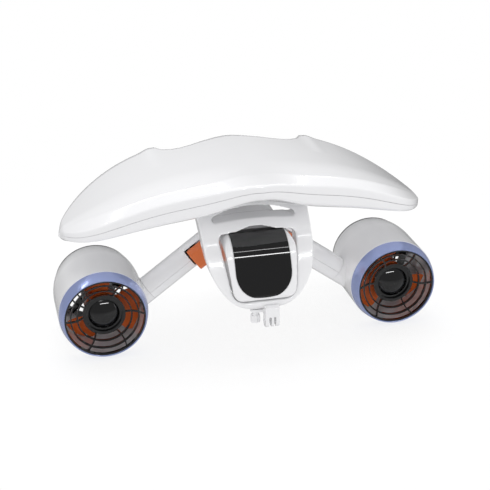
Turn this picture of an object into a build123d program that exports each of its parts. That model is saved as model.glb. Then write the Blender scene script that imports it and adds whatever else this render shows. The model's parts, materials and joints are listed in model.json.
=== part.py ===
from build123d import *
from math import atan, cos, radians, sin, sqrt, tan
import os

os.makedirs("parts", exist_ok=True)

# Underwater scooter: a pod between two ducted thrusters on sloping grip arms, with a clip-on floater.
# Frame: millimetres, +Z up, nose towards -Y, origin on the floor under the middle of the machine.
# Right is +X and left is -X, seen from the front. Right-hand pieces are modelled, left ones mirrored.

# ---- Overall ----
half_length = 130.5            # camera block front to origin, and origin to pod tail
thruster_x = 210.0             # thruster axis from the middle plane
housing_r = 62.5               # barrel radius, which also sets the axis height above the floor
axis_z = housing_r
lip_y = -57.5                  # plane of the ducts' front lips
fit_gap = 0.4                  # between pieces of different bodies that lie face to face
shaft_gap = 0.05               # radial running clearance of shafts and pins
wall = 2.5                     # moulded shells

# ---- Thruster, depths measured rearwards from the front lip ----
ring_length = 20.0
ring_lip_r = 57.4
ring_rear_r = 62.0
bore_r = 56.0                  # water duct at the front
bore_rear_r = 51.5
liner_wall = 1.2
straight_end = 88.0            # the barrel is a plain cylinder up to here
barrel_end = 125.0
barrel_rear_r = 57.3
rear_ring_depth = 4.0

guard_rim_w = 2.4
guard_bar_w = 1.9
guard_ring_radii = (46.8, 37.6)
guard_hub_r = 29.6
guard_hub_w = 4.2
guard_lip = 1.6                # rim set back from the lip
guard_dish = 13.0              # how far the hub lies behind the rim
guard_bar_depth = 3.2
guard_spokes = 6
spoke_lean = 5.0               # degrees that each spoke bows
dome_r = 21.6
dome_rise = 8.5
dome_wall = 2.0

blades = 3
blade_thick = 2.6
prop_front = 33.0
prop_hub_r = 23.0
prop_hub_length = 26.0
prop_hub_wall = 2.6
# Each blade's sections from root to tip: radius, chord, degrees from the disc plane.
blade_sections = ((21.7, 33.0, 50.0), (36.0, 48.0, 35.0), (46.0, 54.0, 28.0), (52.5, 30.0, 24.0))

shaft_r = 4.0
shaft_front = 29.0
nut_r = 8.0
can_front = prop_front + prop_hub_length + 2.0
can_r = 23.5
can_wall = 2.0
can_length = 42.0
bearing_r = 9.5
bearing_w = 6.0
shaft_seal_w = 3.0
rotor_gap = 0.8
magnet_thick = 3.0
bell_wall = 1.6
stator_teeth = 9
stator_bore_r = 6.5
stator_core_r = 10.0
stator_r = 15.0
stator_tooth_w = 3.2
stator_length = 20.0
rear_cap = 3.0

liner_end = 103.0              # the rear guard's rim carries the duct on from here
rim_wall = 2.5
vanes = 8
vane_thick = 2.4
cable_vane_thick = 5.0
vane_front = 104.0
vane_rear = 121.0
tail_spigot_r = 17.0
rear_hub_r = 19.5
rear_ring_radii = (30.0, 41.0)
rear_ring_w = 1.8
rear_ring_bar = 3.5
screw_r = 1.5
screw_head_r = 2.8
screw_head_h = 2.0
screw_length = 9.0

# ---- Grip arms and triggers ----
arm_r = 18.0
arm_y = 12.5
arm_height_at_middle = 171.3   # the arm's axis, carried on to the middle plane
arm_slope = 36.1               # degrees below level
arm_collar_s = 173.0           # distance along the arm where the barrel's collar starts
spigot_length = 18.0
cover_gap = 0.3                # seam between the arm covers
root_overlap = 12.0            # arm pieces reach this far into the pod before being trimmed to it

trigger_s = 81.0               # middle of the trigger along the arm
trigger_length = 29.0
trigger_reach = 24.5           # front of the trigger from the arm's axis
trigger_top = 13.5
trigger_low = -20.5
trigger_skin = 5.0
trigger_round = 2.0
trigger_slack = 1.0
trigger_back = 12.0            # rear edge of the trigger's skirt from the arm's axis
trigger_side_gap = 3.0
trigger_window_back = 7.5
web_half = 5.0
web_length = 9.0
pin_r = 1.6
pin_reach = 4.5                # pin in front of the arm's axis
sensor_board = (14.0, 16.0, 1.2)
sensor_back = 11.0             # board behind the arm's axis
spring_wire_r = 0.5
spring_turns = 4

# ---- Pod ----
pod_top_z = 176.5
pod_bottom_z = 94.0
pod_half_top = 50.5
pod_half_bottom = 42.5
pod_top_round = 17.0
pod_bottom_round = 19.0
nose_y = -121.5                # foremost point of the nose
nose_brow_y = -62.0            # the top is level behind this
nose_cheek_y = -104.0
nose_cheek_z = 152.0
nose_low_z = 104.0
nose_chin_y = -110.0
cap_joint_y = -60.0            # battery cap meets the pod here
pod_wall = 3.0
pod_joint_z = 136.0            # upper shell meets lower shell
spigot_start = 52.0            # distance along the arm where the pod's spigot starts
post_places = ((37.0, 46.0), (33.0, 92.0))
post_r = 4.5
post_overlap = 12.0            # posts run on into the upper shell
post_skin = 4.0
deck_end_y = 68.0              # the display slope starts here
deck_low_y = 122.0
deck_low_z = 142.0
tail_low_z = 112.0
tail_under_y = 100.0
tail_narrow_y = 55.0
tail_half_w = 30.0
tail_round = 16.0

panel_half_top = 38.5
panel_half_low = 33.0
panel_waist_z = 134.0
panel_corner_z = 115.0
panel_flat = 16.0
panel_low_z = 101.5
panel_sag = 1.5
panel_thick = 2.2

pack_half_w = 37.0
pack_bottom_z = 100.5
pack_height = 64.0
plug_flange = 8.0             # the cap's plug reaches this far into the pod
pack_wall = 2.0
pack_round = 8.0
cell_r = 9.2
cell_length = 65.0
cell_pitch = 19.0
cell_rows = 3
cell_columns = 4
plug_w = 34.0
plug_h = 14.0
plug_length = 8.0
socket_wall = 4.0
socket_back = 6.0
socket_leg = 12.0
seal_w = 1.6
seal_depth = 1.2
seal_gap = 0.3

display_w = 46.0
display_h = 28.0
display_glass = 2.0
display_body = 5.0
display_lip = 1.4
display_round = 5.0

latch_y = -6.0
latch_w = 20.0
latch_l = 12.0
latch_travel = 2.5
latch_lip = 1.2                # flange round the button
latch_round = 4.0
latch_flange = 1.6
latch_gap = 0.4
cage_wall = 1.5
cage_depth = 7.5
latch_spring_r = 3.0
latch_spring_wire = 0.5
latch_spring_turns = 4

board_w = 50.0
board_l = 58.0
board_thick = 1.6
board_z = 108.0
board_chip = 11.0
board_chip_h = 3.0
board_foot_r = 2.5

cable_r = 1.2
cable_side_x = 41.0             # run beside the battery
cable_bends = (3, 3, 5, 8, 2)
cable_back = 6.0               # the cable runs behind the arm's axis
cable_turn = 6.0               # and turns this far behind the battery

# ---- Floater: stations along X, and how its section changes from the middle to the tips ----
floater_half_span = 262.0
floater_top_z = 258.5
floater_droop = 47.0           # how far the top falls ...
floater_droop_at = 204.0       # ... at this distance out
floater_front_y = -114.5
floater_sweep = 0.22           # the front edge runs back this much per mm of width
floater_curl = 60.0            # and this much more at the tip
floater_mid_y = 2.5            # the tips lie at this Y
floater_tail = 113.0           # rear rim behind the tips, in the middle
hump_half = 85.0               # the middle rises over the bracket within this half width
hump_seam = 14.0
hump_low = 8.0
hump_crease = 27.0
hump_brow = 11.0
hump_flange = 0.3
seam_drop = 23.0               # front seam below the top
seam_drop_tip = 2.0
floater_depth = 46.0           # underside below the top
floater_tip = 4.0
crease_share = 0.07            # crease behind the front seam, in shares of the section's length
crease_tip_share = 0.28
nose_run = 3.0
nose_fall = 12.0               # the front strip's lower edge below the top
strip_share = 0.4
strip_fall = 0.75              # share of that fall left on the strip, ...
crease_fall = 0.36             # ... at the crease ...
after_fall = 0.09              # ... and behind it
after_share = 0.4
low_run = 3.0
flange_run = 2.0
flange_fall = 0.66             # share of the way from the seam down to the underside
rim_round = 9.0
rim_thick = 21.0
floater_wall = 3.0
float_stations = (0.0, 25.0, 50.0, 75.0, 100.0, 130.0, 160.0, 185.0, 205.0, 222.0, 236.0, 247.0, 255.0, 261.2)
notch_points = ((107.0, 110.5), (100.0, 97.5), (88.0, 88.5), (75.0, 86.5), (60.0, 90.5), (40.0, 100.5),
                (20.0, 110.5), (0.0, 117.5))
notch_rear_y = 140.0
notch_deep_x = 75.0            # the notches are deepest here

# ---- Front bracket ----
bracket_half_w = 82.5
bracket_waist = (75.5, 157.5)
bracket_jaw = (54.0, 104.5)
bracket_bottom_z = 79.5
bracket_depth = 28.0
chin_y = -109.5                # side view of the bracket's front, from chin to floater
chin_mid = (-118.0, 84.0)
chin_front = (-121.0, 92.5)
brow_mid = (-93.5, 150.5)
brow_top = (-43.5, 199.5)
brow_last = (-26.0, 226.0)
bracket_wall = 3.2
bracket_pad_z = 204.0          # solid above this, up to the floater
bracket_screw_x = 67.5
bracket_screw_y = -21.0
bracket_screw_length = 14.0
boss_r = 5.0
boss_low_z = 200.0
boss_height = 24.0
window_half_top = 55.0
window_top_z = 176.2
window_round = 8.0
window_hump = 5.8              # the window's top edge rises in the middle ...
window_hump_half = 40.0        # ... within this half width
slot_half_w = 58.0
slot_bottom_z = 187.7
slot_bow = 2.5
slot_top_z = 202.4
slot_end_z = 193.3
slot_round = 2.5
nose_gap = 0.8

# ---- Rear cradle ----
cradle_front_y = 26.0
cradle_rear_y = 58.0
cradle_half_low = 33.0
cradle_half_top = 26.0
cradle_top_z = floater_top_z - floater_depth / 2

# ---- Camera mount ----
mount_x = 7.5
prong_thick = 3.0
prong_gap = 3.2
outer_prong = 5.0
prong_tip_r = 7.5
prong_tip_z = 57.5
prong_bore_r = 2.55
prong_slot = 16.0
block_top_z = 88.0
base_thick = 4.0
mount_width = 2 * outer_prong + prong_thick + 2 * prong_gap
prong_pitch = prong_thick + prong_gap
mount_front_y = -half_length
mount_depth = 24.0
mount_mid_y = mount_front_y + mount_depth / 2
mount_round = 3.0
lug_r = 7.0
knob_x = -11.5
knob_y = -108.0
knob_r = 7.6
knob_length = 10.5
knob_lobes = 6
knob_neck_r = 4.2
knob_neck = 6.0
knob_shank_r = 2.5
knob_shank = 11.0              # engaged length above the base plate
knob_top_z = 70.0
knob_scallop = 2.0
knob_end_gap = 0.5


# ---- Shared outlines ----
def turned(outline):
    """A piece turned round the right thruster's axis from a closed (radius, depth) outline."""
    with BuildPart() as piece:
        with BuildSketch(Plane(origin=(thruster_x, lip_y, axis_z), z_dir=(0, 0, 1))):
            with BuildLine():
                Polyline(*outline, close=True)
            make_face()
        revolve(axis=Axis((thruster_x, lip_y, axis_z), (0, 1, 0)))
    return piece


def disc_plane(depth):
    """The plane across the right thruster at a depth behind its lip, facing the rear."""
    return Plane(origin=(thruster_x, lip_y + depth, axis_z), x_dir=(1, 0, 0), z_dir=(0, 1, 0))


def arm_plane(s):
    """The plane across the right arm at a distance along it: local x is up, local y is forward."""
    slope = radians(arm_slope)
    origin = (s * cos(slope), arm_y, arm_height_at_middle - s * sin(slope))
    return Plane(origin=origin, x_dir=(sin(slope), 0, cos(slope)), z_dir=(cos(slope), 0, -sin(slope)))


def barrel_face(inset, front, rear):
    """Half outline of the barrel, filled to its axis and set in by an inset, as a face to revolve."""
    with BuildSketch(Plane(origin=(thruster_x, lip_y, axis_z), z_dir=(0, 0, 1))) as face:
        with BuildLine():
            Line((0, rear), (0, front))
            Line((0, front), (housing_r - inset, front))
            Line((housing_r - inset, front), (housing_r - inset, straight_end))
            TangentArc((housing_r - inset, straight_end), (barrel_rear_r - inset, rear), tangent=(0, 1))
            Line((barrel_rear_r - inset, rear), (0, rear))
        make_face()
    return face.sketch



# ---- Thruster barrel with its arm collar ----
thruster_axis = Axis((thruster_x, lip_y, axis_z), (0, 1, 0))
with BuildPart() as thruster_housing:
    add(barrel_face(0, ring_length, barrel_end))
    revolve(axis=thruster_axis)
    with BuildSketch(arm_plane(arm_collar_s)):
        Circle(arm_r)
    extrude(amount=40)
    fillet(thruster_housing.edges().filter_by(GeomType.BSPLINE), 5)
    with BuildSketch(arm_plane(arm_collar_s - spigot_length)):
        Circle(arm_r - wall)
    extrude(amount=spigot_length)
    with BuildSketch(arm_plane(arm_collar_s - spigot_length)):
        Circle(arm_r - 2 * wall)
    extrude(amount=spigot_length + 40, mode=Mode.SUBTRACT)
    add(barrel_face(wall, ring_length, barrel_end))
    revolve(axis=thruster_axis, mode=Mode.SUBTRACT)

# The barrel's cable hole and motor cable share one point where the arm's axis enters the barrel.
cable_entry_s = 187.2


# ---- Blue trim ring and duct liner ----
liner_r = bore_r + liner_wall
with BuildPart() as trim_ring:
    with BuildSketch(Plane(origin=(thruster_x, lip_y, axis_z), z_dir=(0, 0, 1))):
        with BuildLine():
            ring_outer = ThreePointArc((ring_lip_r, 0), (60.4, ring_length / 2), (ring_rear_r, ring_length))
            Polyline(ring_outer @ 1, (liner_r, ring_length), (liner_r, guard_lip), (bore_r, guard_lip),
                     (bore_r, 0.5), (bore_r + 0.5, 0), ring_outer @ 0)
        make_face()
    revolve(axis=thruster_axis)

duct_liner = turned([
    (bore_r, guard_lip), (liner_r, guard_lip), (liner_r, straight_end - ring_length),
    (bore_rear_r + liner_wall, liner_end), (bore_rear_r, liner_end), (bore_r, straight_end - ring_length),
])

# ---- Front guard: dished grille of two rings and bowed spokes ----
hub_depth = guard_lip + guard_dish
guard_inner_hub = guard_hub_r - guard_hub_w
guard_reach = bore_r - guard_inner_hub
with BuildPart() as front_guard:
    with BuildSketch(disc_plane(0)):
        for ring_radius in guard_ring_radii:
            Circle(ring_radius + guard_bar_w / 2)
            Circle(ring_radius - guard_bar_w / 2, mode=Mode.SUBTRACT)
        for spoke in range(guard_spokes):
            spoke_angle = spoke * 360 / guard_spokes
            with BuildLine(mode=Mode.PRIVATE) as spoke_line:
                ThreePointArc(
                    Vector(guard_inner_hub, 0).rotate(Axis.Z, spoke_angle),
                    Vector((guard_inner_hub + bore_r) / 2, 0).rotate(Axis.Z, spoke_angle + spoke_lean),
                    Vector(bore_r - guard_rim_w / 2, 0).rotate(Axis.Z, spoke_angle),
                )
            SlotArc(spoke_line.edge(), guard_bar_w)
    extrude(amount=hub_depth + 2 * guard_bar_depth)
    with BuildSketch(Plane(origin=(thruster_x, lip_y, axis_z), z_dir=(0, 0, 1))):
        with BuildLine():
            Polyline((bore_r, guard_lip), (bore_r, guard_lip + guard_bar_depth),
                     (guard_inner_hub, hub_depth + guard_bar_depth), (guard_inner_hub, hub_depth), close=True)
        make_face()
    revolve(axis=thruster_axis, mode=Mode.INTERSECT)
    with BuildSketch(Plane(origin=(thruster_x, lip_y, axis_z), z_dir=(0, 0, 1))):
        with BuildLine():
            Polyline((bore_r, guard_lip), (bore_r, guard_lip + guard_bar_depth + 1),
                     (bore_r - guard_rim_w, guard_lip + guard_bar_depth + 1), (bore_r - guard_rim_w, guard_lip),
                     close=True)
        make_face()
        with BuildLine():
            Polyline((guard_hub_r, hub_depth - 1), (guard_hub_r, hub_depth + guard_bar_depth + 1),
                     (0, hub_depth + guard_bar_depth + 1), (0, hub_depth + guard_bar_depth - 1),
                     (guard_inner_hub, hub_depth + guard_bar_depth - 1), (guard_inner_hub, hub_depth - 1),
                     close=True)
        make_face()
    revolve(axis=thruster_axis)

dome_seat = hub_depth + guard_bar_depth - 1
with BuildPart() as guard_dome:
    with BuildSketch(Plane(origin=(thruster_x, lip_y, axis_z), z_dir=(0, 0, 1))):
        with BuildLine():
            dome_out = TangentArc((0, dome_seat - dome_rise), (dome_r, dome_seat), tangent=(1, 0))
            dome_in = TangentArc((0, dome_seat - dome_rise + dome_wall), (dome_r - dome_wall, dome_seat),
                                 tangent=(1, 0))
            Line(dome_out @ 1, dome_in @ 1)
            Line(dome_out @ 0, dome_in @ 0)
        make_face()
    revolve(axis=thruster_axis)

# ---- Propeller ----
blade_middle = lip_y + prop_front + prop_hub_length / 2
with BuildPart() as propeller:
    for turn in range(blades):
        radial = Vector(1, 0, 0).rotate(Axis.Y, turn * 360 / blades)
        around = Vector(0, 0, 1).rotate(Axis.Y, turn * 360 / blades)
        for radius, chord, pitch in blade_sections:
            centre = Vector(thruster_x, blade_middle, axis_z) + radial * radius
            with BuildSketch(Plane(origin=centre, x_dir=around, z_dir=radial)):
                Ellipse(chord / 2, blade_thick / 2, rotation=pitch)
        loft()
    with BuildSketch(disc_plane(prop_front)):
        Circle(prop_hub_r)
    extrude(amount=prop_hub_length)
    with BuildSketch(disc_plane(prop_front + prop_hub_wall)):
        Circle(prop_hub_r - prop_hub_wall)
    extrude(amount=prop_hub_length, mode=Mode.SUBTRACT)
    with BuildSketch(disc_plane(prop_front)):
        Circle(shaft_r)
    extrude(amount=prop_hub_wall, mode=Mode.SUBTRACT)

with BuildPart() as propeller_nut:
    with BuildSketch(disc_plane(shaft_front)):
        RegularPolygon(nut_r, 6)
        Circle(shaft_r, mode=Mode.SUBTRACT)
    extrude(amount=prop_front - shaft_front)

# ---- Motor: sealed can, bearings, outrunner bell on the propeller shaft ----
seal_rear = can_front + shaft_seal_w
bearing_rear = seal_rear + bearing_w
can_rear = can_front + can_length
tail_bearing = can_rear + 1
motor_shaft = turned([
    (0, shaft_front), (shaft_r, shaft_front), (shaft_r, tail_bearing + bearing_w - 1),
    (0, tail_bearing + bearing_w - 1),
])
motor_can = turned([
    (bearing_r, can_front), (can_r, can_front), (can_r, can_rear), (can_r - can_wall, can_rear),
    (can_r - can_wall, can_front + can_wall), (bearing_r + can_wall, can_front + can_wall),
    (bearing_r + can_wall, bearing_rear), (bearing_r, bearing_rear),
])
bore_fit = shaft_r + shaft_gap
shaft_seal = turned([
    (bore_fit, can_front), (bearing_r, can_front), (bearing_r, seal_rear), (bore_fit, seal_rear),
])
front_bearing = turned([
    (bore_fit, seal_rear), (bearing_r, seal_rear), (bearing_r, bearing_rear), (bore_fit, bearing_rear),
])
rear_bearing = turned([
    (bore_fit, tail_bearing), (bearing_r, tail_bearing), (bearing_r, tail_bearing + bearing_w),
    (bore_fit, tail_bearing + bearing_w),
])
bell_front = bearing_rear + 1.5
bell_rear = can_rear - can_wall - 3.5
magnet_in = stator_r + rotor_gap
bell_in = magnet_in + magnet_thick
motor_rotor = turned([
    (shaft_r, bell_front), (bell_in + bell_wall, bell_front), (bell_in + bell_wall, bell_rear),
    (magnet_in, bell_rear), (magnet_in, bell_rear - stator_length), (bell_in - 1, bell_front + bell_wall),
    (shaft_r, bell_front + bell_wall),
])
stator_front = bell_rear - stator_length
with BuildPart() as motor_stator:
    with BuildSketch(disc_plane(stator_front)):
        Circle(stator_core_r)
        with PolarLocations((stator_core_r + stator_r) / 2 - 1, stator_teeth):
            Rectangle(stator_r - stator_core_r + 2, stator_tooth_w)
        with PolarLocations(stator_r - 1, stator_teeth):
            Rectangle(1.6, stator_tooth_w * 2.2)
        Circle(stator_bore_r, mode=Mode.SUBTRACT)
    extrude(amount=stator_length)
    with BuildSketch(disc_plane(stator_front)):
        Circle(stator_r)
    extrude(amount=stator_length, mode=Mode.INTERSECT)
motor_tail = turned([
    (stator_bore_r - 1.5, stator_front), (stator_bore_r, stator_front), (stator_bore_r, can_rear - 4),
    (can_r - can_wall, can_rear - 4), (can_r - can_wall, can_rear), (can_r, can_rear),
    (tail_spigot_r, can_rear + 9), (tail_spigot_r, vane_rear), (0, vane_rear),
    (0, tail_bearing + bearing_w), (bearing_r, tail_bearing + bearing_w), (bearing_r, tail_bearing),
    (stator_bore_r - 1.5, tail_bearing),
])

# ---- Rear guard: straightening vanes between the barrel's rim and the motor's tail ----
rim_outer = barrel_rear_r - wall - 0.3
cable_depth = (vane_front + vane_rear) / 2
with BuildPart() as rear_guard:
    with BuildSketch(disc_plane(vane_front)):
        with PolarLocations((rear_hub_r + bore_rear_r) / 2, vanes):
            Rectangle(bore_rear_r - rear_hub_r + 2, vane_thick)
        with Locations((-(rear_hub_r + bore_rear_r) / 2, 0)):
            Rectangle(bore_rear_r - rear_hub_r + 2, cable_vane_thick)
    extrude(amount=vane_rear - vane_front)
    with BuildSketch(disc_plane(vane_rear - rear_ring_bar)):
        for ring_radius in sorted(rear_ring_radii, reverse=True):
            Circle(ring_radius + rear_ring_w / 2)
            Circle(ring_radius - rear_ring_w / 2, mode=Mode.SUBTRACT)
    extrude(amount=rear_ring_bar)
    with BuildSketch(Plane(origin=(thruster_x, lip_y, axis_z), z_dir=(0, 0, 1))):
        with BuildLine():
            Polyline((bore_rear_r, liner_end), (rim_outer, liner_end), (rim_outer, barrel_end),
                     (barrel_rear_r - 0.3, barrel_end), (barrel_rear_r - 0.3, barrel_end + rear_ring_depth - 1),
                     (barrel_rear_r - 1.3, barrel_end + rear_ring_depth),
                     (bore_rear_r, barrel_end + rear_ring_depth), close=True)
        make_face()
        with BuildLine():
            Polyline((tail_spigot_r, can_rear + 9), (rear_hub_r, can_rear + 9), (rear_hub_r, vane_rear + rear_cap),
                     (screw_r, vane_rear + rear_cap), (screw_r, vane_rear), (tail_spigot_r, vane_rear), close=True)
        make_face()
    revolve(axis=thruster_axis)
    with BuildSketch(Plane(origin=(thruster_x - bore_rear_r - 6, lip_y + cable_depth, axis_z), z_dir=(1, 0, 0))):
        Circle(cable_r + 0.1)
    extrude(amount=bore_rear_r + 6 - tail_spigot_r, mode=Mode.SUBTRACT)

    add(motor_tail.part, mode=Mode.SUBTRACT)

with BuildPart() as guard_screw:
    with BuildSketch(disc_plane(vane_rear + rear_cap)):
        Circle(screw_head_r)
    extrude(amount=screw_head_h)
    with BuildSketch(disc_plane(vane_rear + rear_cap - screw_length)):
        Circle(screw_r)
    extrude(amount=screw_length)
with BuildPart() as tail_drilled:
    add(motor_tail.part)
    add(guard_screw.part, mode=Mode.SUBTRACT)
motor_tail = tail_drilled


# ---- Pod outline, shared by its shells, the battery cap and what fits inside ----
def pod_form(inset):
    """The pod as a solid, with its three outlines set in by an inset."""
    with BuildPart() as form:
        with BuildSketch(Plane.XZ):
            with BuildLine():
                Polyline((-pod_half_bottom, pod_bottom_z), (pod_half_bottom, pod_bottom_z),
                         (pod_half_top, pod_top_z), (-pod_half_top, pod_top_z), close=True)
            make_face()
            fillet(vertices().group_by(Axis.Y)[0], pod_bottom_round)
            fillet(vertices().group_by(Axis.Y)[-1], pod_top_round)
            offset(amount=-inset, mode=Mode.REPLACE)
        extrude(amount=2 * half_length, both=True)
        with BuildSketch(Plane.YZ):
            with BuildLine():
                brow = TangentArc((nose_brow_y, pod_top_z), (nose_cheek_y, nose_cheek_z), tangent=(-1, 0))
                cheek = TangentArc(brow @ 1, (nose_y, nose_low_z), tangent=brow % 1)
                chin = TangentArc(cheek @ 1, (nose_chin_y, pod_bottom_z), tangent=cheek % 1)
                belly = Line(chin @ 1, (tail_under_y, pod_bottom_z))
                stern = TangentArc(belly @ 1, (half_length, tail_low_z), tangent=(1, 0))
                transom = TangentArc(stern @ 1, (deck_low_y, deck_low_z), tangent=(0, 1))
                Polyline(transom @ 1, (deck_end_y, pod_top_z), brow @ 0)
            make_face()
            offset(amount=-inset, mode=Mode.REPLACE)
        extrude(amount=2 * pod_half_top, both=True, mode=Mode.INTERSECT)
        with BuildSketch(Plane.XY):
            with BuildLine():
                right_side = Line((pod_half_top + 1, -half_length), (pod_half_top + 1, tail_narrow_y))
                right_quarter = TangentArc(right_side @ 1, (tail_half_w, half_length), tangent=(0, 1))
                left_quarter = TangentArc((-pod_half_top - 1, tail_narrow_y), (-tail_half_w, half_length),
                                          tangent=(0, 1))
                Line(right_quarter @ 1, left_quarter @ 1)
                Polyline(left_quarter @ 0, (-pod_half_top - 1, -half_length), right_side @ 0)
            make_face()
            fillet(vertices().group_by(Axis.Y)[-1], tail_round)
            offset(amount=-inset, mode=Mode.REPLACE)
        extrude(amount=2 * pod_top_z, mode=Mode.INTERSECT)
    return form.part


def slab(front_y, rear_y):
    """A block across the whole machine between two Y positions, for keeping one stretch of a piece."""
    with BuildPart() as block:
        with BuildSketch(Plane.XZ.offset(-front_y)):
            Rectangle(4 * thruster_x, 4 * pod_top_z)
        extrude(amount=front_y - rear_y)
    return block.part


def mirrored(piece):
    """The left-hand twin of a right-hand piece."""
    with BuildPart() as twin:
        mirror(piece, about=Plane.YZ)
    return twin.part


pod_outer = pod_form(0)
pod_inner = pod_form(pod_wall)

# ---- Pod shells, with a spigot for each arm, screw posts, the display pocket and the latch cage ----
deck_slope = atan((pod_top_z - deck_low_z) / (deck_low_y - deck_end_y))
deck_plane = Plane(
    origin=(0, (deck_end_y + deck_low_y) / 2, (pod_top_z + deck_low_z) / 2),
    x_dir=(1, 0, 0), z_dir=(0, sin(deck_slope), cos(deck_slope)),
)
screw_posts = [(side * post_x, post_y) for post_x, post_y in post_places for side in (-1, 1)]
with BuildPart() as post_columns:
    with BuildSketch(Plane.XY.offset(pod_bottom_z)):
        with Locations(*screw_posts):
            Circle(post_r)
        for post_x, post_y in screw_posts:
            with Locations((post_x + (post_x / abs(post_x)) * 2 * post_r, post_y)):
                Rectangle(4 * post_r, pod_wall)
    extrude(amount=pod_joint_z + post_overlap - pod_bottom_z)
    add(pod_outer, mode=Mode.INTERSECT)
with BuildPart() as pod_screws:
    with BuildSketch(Plane.XY.offset(pod_joint_z - post_skin - screw_head_h)):
        with Locations(*screw_posts):
            Circle(screw_head_r)
    extrude(amount=screw_head_h)
    with BuildSketch(Plane.XY.offset(pod_joint_z - post_skin)):
        with Locations(*screw_posts):
            Circle(screw_r)
    extrude(amount=screw_length)
with BuildPart() as arm_spigot:
    with BuildSketch(arm_plane(spigot_start)):
        Circle(arm_r - wall)
    extrude(amount=spigot_length + 8)
with BuildPart() as arm_bore:
    with BuildSketch(arm_plane(spigot_start - 8)):
        Circle(arm_r - 2 * wall)
    extrude(amount=spigot_length + 20)

with BuildPart() as trigger_window:
    with BuildSketch(arm_plane(trigger_s - trigger_length / 2 - trigger_side_gap)):
        with Locations(((trigger_top + trigger_low) / 2, trigger_window_back + arm_r)):
            Rectangle(trigger_top - trigger_low + 2 * trigger_slack, 2 * arm_r)
    extrude(amount=trigger_length + 2 * trigger_side_gap)
with BuildPart() as arm_root:
    with BuildSketch(arm_plane(spigot_start - root_overlap)):
        Circle(arm_r)
        Circle(arm_r - 1.5 * wall, mode=Mode.SUBTRACT)
        with Locations((-arm_r - cover_gap / 2, trigger_window_back + arm_r)):
            Rectangle(2 * arm_r, 2 * arm_r, mode=Mode.INTERSECT)
    extrude(amount=trigger_s - trigger_length / 2 - trigger_side_gap - spigot_start + root_overlap)

flange_top = pod_top_z - pod_wall - latch_gap
cage_floor = pod_top_z - pod_wall - cage_depth
cage_half_w = latch_w / 2 + latch_lip + latch_gap
cage_half_l = latch_l / 2 + latch_lip + latch_gap
with BuildPart() as pod_body:
    add(pod_outer)
    add(arm_spigot.part)
    add(arm_root.part)
    add(trigger_window.part, mode=Mode.SUBTRACT)
    add(mirrored(arm_spigot.part))
    add(mirrored(arm_root.part))
    add(mirrored(trigger_window.part), mode=Mode.SUBTRACT)
    add(pod_inner, mode=Mode.SUBTRACT)
    add(arm_bore.part, mode=Mode.SUBTRACT)
    add(mirrored(arm_bore.part), mode=Mode.SUBTRACT)
    add(slab(nose_y - pod_wall, cap_joint_y), mode=Mode.SUBTRACT)
    add(post_columns.part)
    add(pod_screws.part, mode=Mode.SUBTRACT)
    with BuildSketch(Plane.XY.offset(pod_bottom_z)):
        with Locations(*screw_posts):
            Circle(screw_head_r)
    extrude(amount=pod_joint_z - post_skin - pod_bottom_z, mode=Mode.SUBTRACT)
    with BuildSketch(deck_plane):
        RectangleRounded(display_w, display_h, display_round)
    extrude(amount=-pod_wall - 1, mode=Mode.SUBTRACT)
    with BuildSketch(Plane.XY.offset(cage_floor - cage_wall)):
        with Locations((0, latch_y)):
            Rectangle(2 * (cage_half_w + cage_wall), 2 * (cage_half_l + cage_wall))
    extrude(amount=cage_depth + cage_wall + pod_wall / 2)
    with BuildSketch(Plane.XY.offset(cage_floor)):
        with Locations((0, latch_y)):
            Rectangle(2 * cage_half_w, 2 * cage_half_l)
    extrude(amount=cage_depth, mode=Mode.SUBTRACT)
    with BuildSketch(Plane.XY.offset(cage_floor)):
        with Locations((0, latch_y)):
            RectangleRounded(latch_w + 2 * latch_gap, latch_l + 2 * latch_gap, latch_round)
    extrude(amount=cage_depth + 2 * pod_wall, mode=Mode.SUBTRACT)

with BuildPart() as pod_upper_shell:
    add(pod_body.part)
    split(bisect_by=Plane.XY.offset(pod_joint_z), keep=Keep.TOP)
with BuildPart() as pod_lower_shell:
    add(pod_body.part)
    split(bisect_by=Plane.XY.offset(pod_joint_z), keep=Keep.BOTTOM)

# ---- Battery latch button and its spring ----
with BuildPart() as battery_latch:
    with BuildSketch(Plane.XY.offset(flange_top - latch_flange)):
        with Locations((0, latch_y)):
            Rectangle(latch_w + 2 * latch_lip, latch_l + 2 * latch_lip)
    extrude(amount=latch_flange)
    with BuildSketch(Plane.XY.offset(flange_top - latch_flange)):
        with Locations((0, latch_y)):
            RectangleRounded(latch_w, latch_l, latch_round)
    extrude(amount=pod_top_z - latch_gap - flange_top + latch_flange)

spring_height = flange_top - latch_flange - cage_floor
with BuildPart() as latch_spring:
    coil_height = spring_height - 2 * latch_spring_wire
    with BuildLine():
        coil = Helix(coil_height / latch_spring_turns, coil_height, latch_spring_r,
                     center=(0, latch_y, cage_floor + latch_spring_wire))
    with BuildSketch(Plane(origin=coil @ 0, z_dir=coil % 0)):
        Circle(latch_spring_wire)
    sweep(path=coil, is_frenet=True)

# ---- Display in the sloping deck behind the pod's top ----
with BuildPart() as display_window:
    with BuildSketch(deck_plane):
        RectangleRounded(display_w, display_h, display_round)
    extrude(amount=-display_glass)
with BuildPart() as display_module:
    with BuildSketch(deck_plane.offset(-display_glass)):
        Rectangle(display_w - 2 * display_round, display_h - 2 * display_lip)
    extrude(amount=-display_body)

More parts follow.
